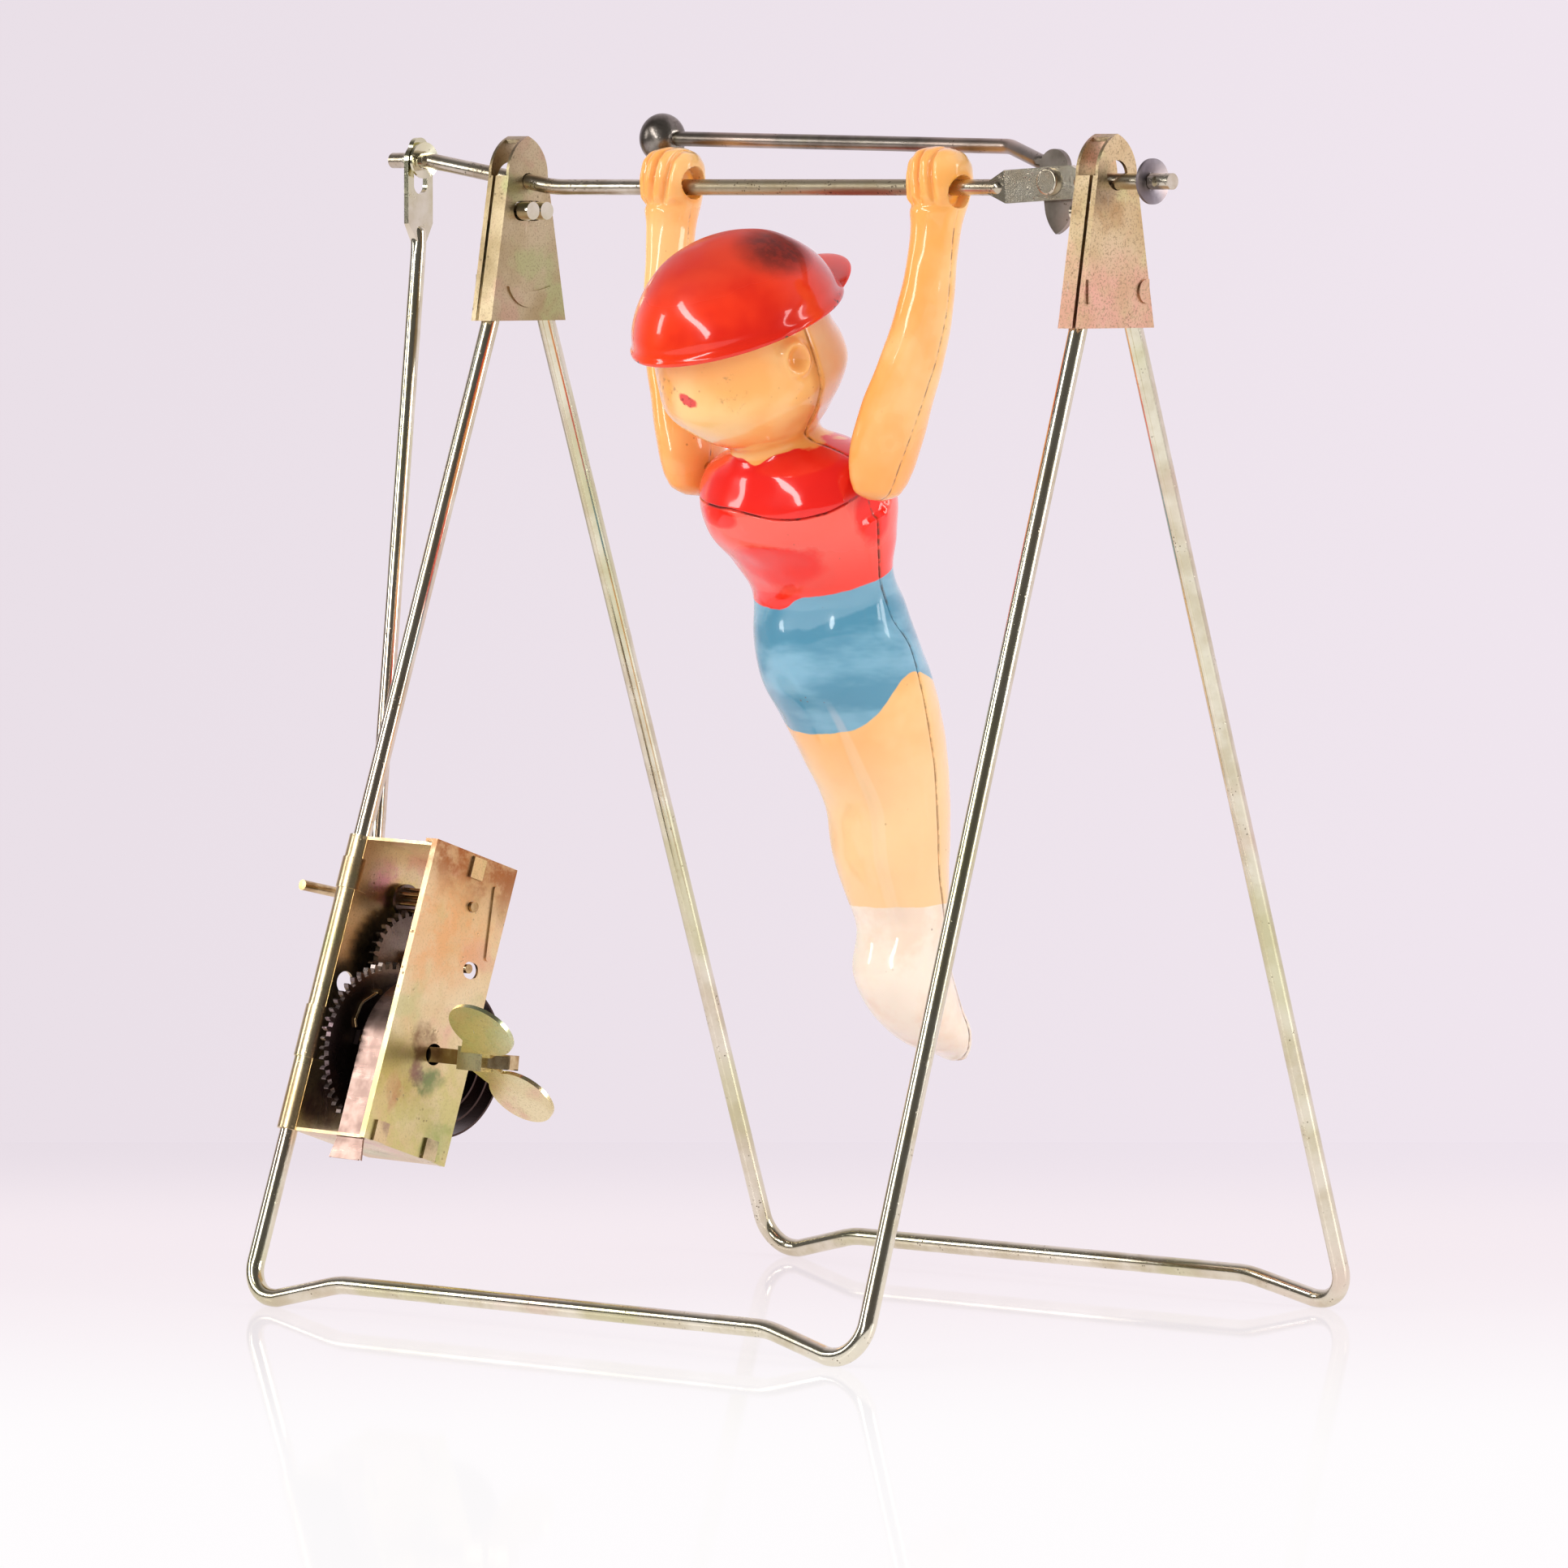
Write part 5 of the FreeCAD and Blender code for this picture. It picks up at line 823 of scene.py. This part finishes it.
# Height above the shoulder, centre sideways, half width and half depth of an arm's cross-section
ARM_LEVELS = [
    (-5.2, 23.8, 1.0, 1.8), (-4.5, 23.8, 2.4, 4.0), (-2.6, 24.0, 3.6, 6.0), (0.0, 24.3, 4.3, 7.1),
    (5.0, 25.3, 4.9, 7.9), (12.0, 27.3, 5.1, 7.7), (20.0, 30.2, 5.0, 6.9), (30.0, 32.8, 4.6, 5.9),
    (40.0, 34.0, 4.2, 5.0), (46.0, 34.3, 4.6, 5.0), (ARM_REACH - 2.0, 34.5, 5.7, 5.7),
    (ARM_REACH + 2.5, 34.6, 6.1, 5.9), (ARM_REACH + 5.4, 34.5, 5.3, 5.0), (ARM_REACH + 6.8, 34.4, 3.8, 3.4),
    (ARM_REACH + 7.4, 34.4, 2.0, 1.6)]
WRIST = 44.0
ARM_HALF_ROWS, ARM_COLUMNS = 84, 176
HOLLOW_RADIUS = 3.1
HOLLOW_DEPTH = 2.6


def arm_shell(name, side, node):
    """An arm and its fist: ovals carried up the arm, x = c + a cos t, front = b sin t. Three grooves part the
    fingers over the top of the fist, a thin one marks the seam, and a round hollow surrounds the bar on
    both sides of the fist."""
    rows = np.concatenate([np.linspace(ARM_LEVELS[0][0], WRIST, ARM_HALF_ROWS, endpoint=False),
                           np.linspace(WRIST, ARM_LEVELS[-1][0], ARM_HALF_ROWS)])[:, None]
    turn = full_turn(ARM_COLUMNS)
    centre, half_x, half_front = along_table(rows, ARM_LEVELS)
    x, front = half_x * np.cos(turn), half_front * np.sin(turn)
    height = rows + 0 * turn
    hand = smooth_step(height, ARM_REACH - 4.0, ARM_REACH - 2.0)
    slant = x + centre - HAND_CENTRE + FINGER_SLANT * (height - ARM_REACH)
    fingers = sum(bump_of(slant - gap, 0.55) for gap in FINGER_GAPS)
    relief = 0.25 * hand * smooth_step(-front, 0, 2) - hand * fingers * (1 - smooth_step(front, 0.0, 3.0))
    relief -= 0.5 * bump_of(height - ARM_REACH + 3.6, 0.8) * smooth_step(-front, 1, 3)
    relief -= 0.14 * bump_of(front - arm_seam(height), 0.3) * (1 - hand)
    relief += 0.05 * np.sin(0.5 * height + turn) * np.sin(0.23 * height + 2 * turn)
    out_x, out_front = half_front * np.cos(turn), half_x * np.sin(turn)
    length = np.hypot(out_x, out_front)
    x, front = x + relief * out_x / length, front + relief * out_front / length
    from_bar = np.hypot(front, height - ARM_REACH + 0.8 * side)
    x = x - np.sign(x) * HOLLOW_DEPTH * (1 - smooth_step(from_bar, HOLLOW_RADIUS - 0.5, HOLLOW_RADIUS))
    rings = shoulder_points(side * (centre + x), front, height, ARM_FRONT, ARM_UP)
    closed_surface(name, rings, finishes["doll_arm"], "bar", [node])


cap_paint = painted_cap("cap_paint")
doll_half("body_back_shell", True)
doll_half("body_front_shell", False)
cap_shell(cap_paint)
brim_shell(cap_paint)
arm_shell("left_arm_shell", -1, "left_arm")
arm_shell("right_arm_shell", 1, "right_arm")

# Stage: a pale polished table before a pale lilac backdrop

CAMERA_TURN = math.radians(44.28)
TO_CAMERA = (math.sin(CAMERA_TURN), -math.cos(CAMERA_TURN), 0.0)
TO_RIGHT = (math.cos(CAMERA_TURN), math.sin(CAMERA_TURN), 0.0)
DARK_TURN = math.radians(14.0)
DARK_SIDE = (math.sin(DARK_TURN), -math.cos(DARK_TURN), 0.0)
TABLE_FAR = 0.34
TABLE_NEAR = 1.3
TABLE_HALF = 1.0
BACKDROP_LEFT = linear(233, 223, 231)
BACKDROP_RIGHT = linear(240, 230, 239)
DARK_TONE = (0.09, 0.085, 0.08)
SOFT_LIGHT = (1.0, 0.98, 0.99)
SOFT_LIGHT_STRENGTH = 0.68
LAMP_FAR = 1.2
LAMP_TARGET = Vector((0.0, 0.0, 0.12))


def table_top():
    """Pale polished table: the backdrop's colour at its far edge, white near the camera, faintly mirrored."""
    f = Finish("table_top")
    near = f.along(TO_CAMERA)
    across = f.along(TO_RIGHT)
    far_colour = f.mixed(across.step(-0.25, 0.25), BACKDROP_LEFT, BACKDROP_RIGHT)
    tone = f.mixed(near.step(-TABLE_FAR, -0.12), far_colour, linear(248, 238, 243))
    tone = f.mixed(near.step(-0.12, 0.22), tone, linear(255, 253, 254))
    cloud = f.noise(5.0, 2.0)
    cloudy = f.mixed(cloud * 0.05, tone, linear(230, 220, 230))
    f.finish(colour=cloudy, rough=0.03 + 0.03 * cloud, specular=0.5)
    glow = f.node("ShaderNodeEmission", None, {"Color": tone, "Strength": 1.0})
    share = f.seen_rays() * (0.72 + 0.2 * near.step(0.08, 0.26))
    mix = f.node("ShaderNodeMixShader", None, {0: share, 1: f.surface.outputs[0], 2: glow.outputs[0]})
    f.feed(f.output.inputs["Surface"], mix.outputs[0])
    return f.material


def table(material):
    """A flat rectangle turned to the camera, its far edge TABLE_FAR behind the toy."""
    sides = np.array([-TABLE_HALF, TABLE_HALF, TABLE_HALF, -TABLE_HALF])[:, None] * np.array(TO_RIGHT)
    ends = np.array([TABLE_NEAR, TABLE_NEAR, -TABLE_FAR, -TABLE_FAR])[:, None] * np.array(TO_CAMERA)
    mesh = bpy.data.meshes.new("table")
    mesh.from_pydata((sides + ends).tolist(), [], [(0, 1, 2, 3)])
    mesh.materials.append(material)
    piece = bpy.data.objects.new("table", mesh)
    bpy.context.scene.collection.objects.link(piece)


def studio():
    """The world: a pale backdrop for the camera, the same but darker on one side for what gloss mirrors, and
    a plain soft light for the rest."""
    world = bpy.data.worlds.new("studio")
    world.use_nodes = True
    g = Graph(world.node_tree)
    ray = g.node("ShaderNodeTexCoord").outputs["Generated"]
    to_right = g.dot(ray, TO_RIGHT).step(-0.12, 0.12)
    to_dark = g.dot(ray, DARK_SIDE).step(-0.7, 0.2)
    glossy = g.level(g.node("ShaderNodeLightPath").outputs["Is Glossy Ray"])
    pale = g.mixed(to_right, BACKDROP_LEFT, BACKDROP_RIGHT)
    backdrop = g.mixed(to_dark * glossy, pale, DARK_TONE)
    seen = g.node("ShaderNodeBackground", None, {"Color": backdrop})
    light = g.node("ShaderNodeBackground", None, {"Color": SOFT_LIGHT, "Strength": SOFT_LIGHT_STRENGTH})
    mix = g.node("ShaderNodeMixShader", None, {0: g.seen_rays(), 1: light.outputs[0], 2: seen.outputs[0]})
    g.node("ShaderNodeOutputWorld", None, {"Surface": mix.outputs[0]})
    bpy.context.scene.world = world


def soft_box(name, turn, rise, width, height, power, roll=0.0):
    """A rectangular lamp, LAMP_FAR metres away, that faces the toy from a turn and a rise in degrees. A roll
    leans its top to the side of smaller turns."""
    turn, rise = math.radians(turn), math.radians(rise)
    light = bpy.data.lights.new(name, "AREA")
    light.shape = "RECTANGLE"
    light.size, light.size_y = width, height
    light.energy = power
    holder = bpy.data.objects.new(name, light)
    bpy.context.scene.collection.objects.link(holder)
    away = Vector((math.sin(turn) * math.cos(rise), -math.cos(turn) * math.cos(rise), math.sin(rise)))
    holder.location = LAMP_TARGET + away * LAMP_FAR
    facing = (-away).to_track_quat("-Z", "Y") @ Quaternion((0.0, 0.0, 1.0), math.radians(roll))
    holder.rotation_euler = facing.to_euler()


table(table_top())
studio()
soft_box("soft_box_left", turn=-4.0, rise=25.0, width=0.13, height=1.25, power=6.8, roll=52.0)
soft_box("soft_box_right", turn=110.0, rise=15.0, width=0.42, height=0.62, power=5.8)
soft_box("soft_box_low", turn=-48.0, rise=16.0, width=0.14, height=0.36, power=1.3)

# Camera at the photograph's viewing angle

CAMERA_PLACE = Vector((1.40214, -1.43414, 0.210465))
CAMERA_TARGET = Vector((0.00379, 0.0, 0.09785))
camera_data = bpy.data.cameras.new("camera")
camera_data.sensor_width = 36.0
camera_data.lens = 246.68
camera = bpy.data.objects.new("camera", camera_data)
bpy.context.scene.collection.objects.link(camera)
camera.location = CAMERA_PLACE
camera.rotation_euler = (CAMERA_TARGET - CAMERA_PLACE).to_track_quat("-Z", "Y").to_euler()
bpy.context.scene.camera = camera
bpy.context.scene.view_settings.view_transform = "Standard"
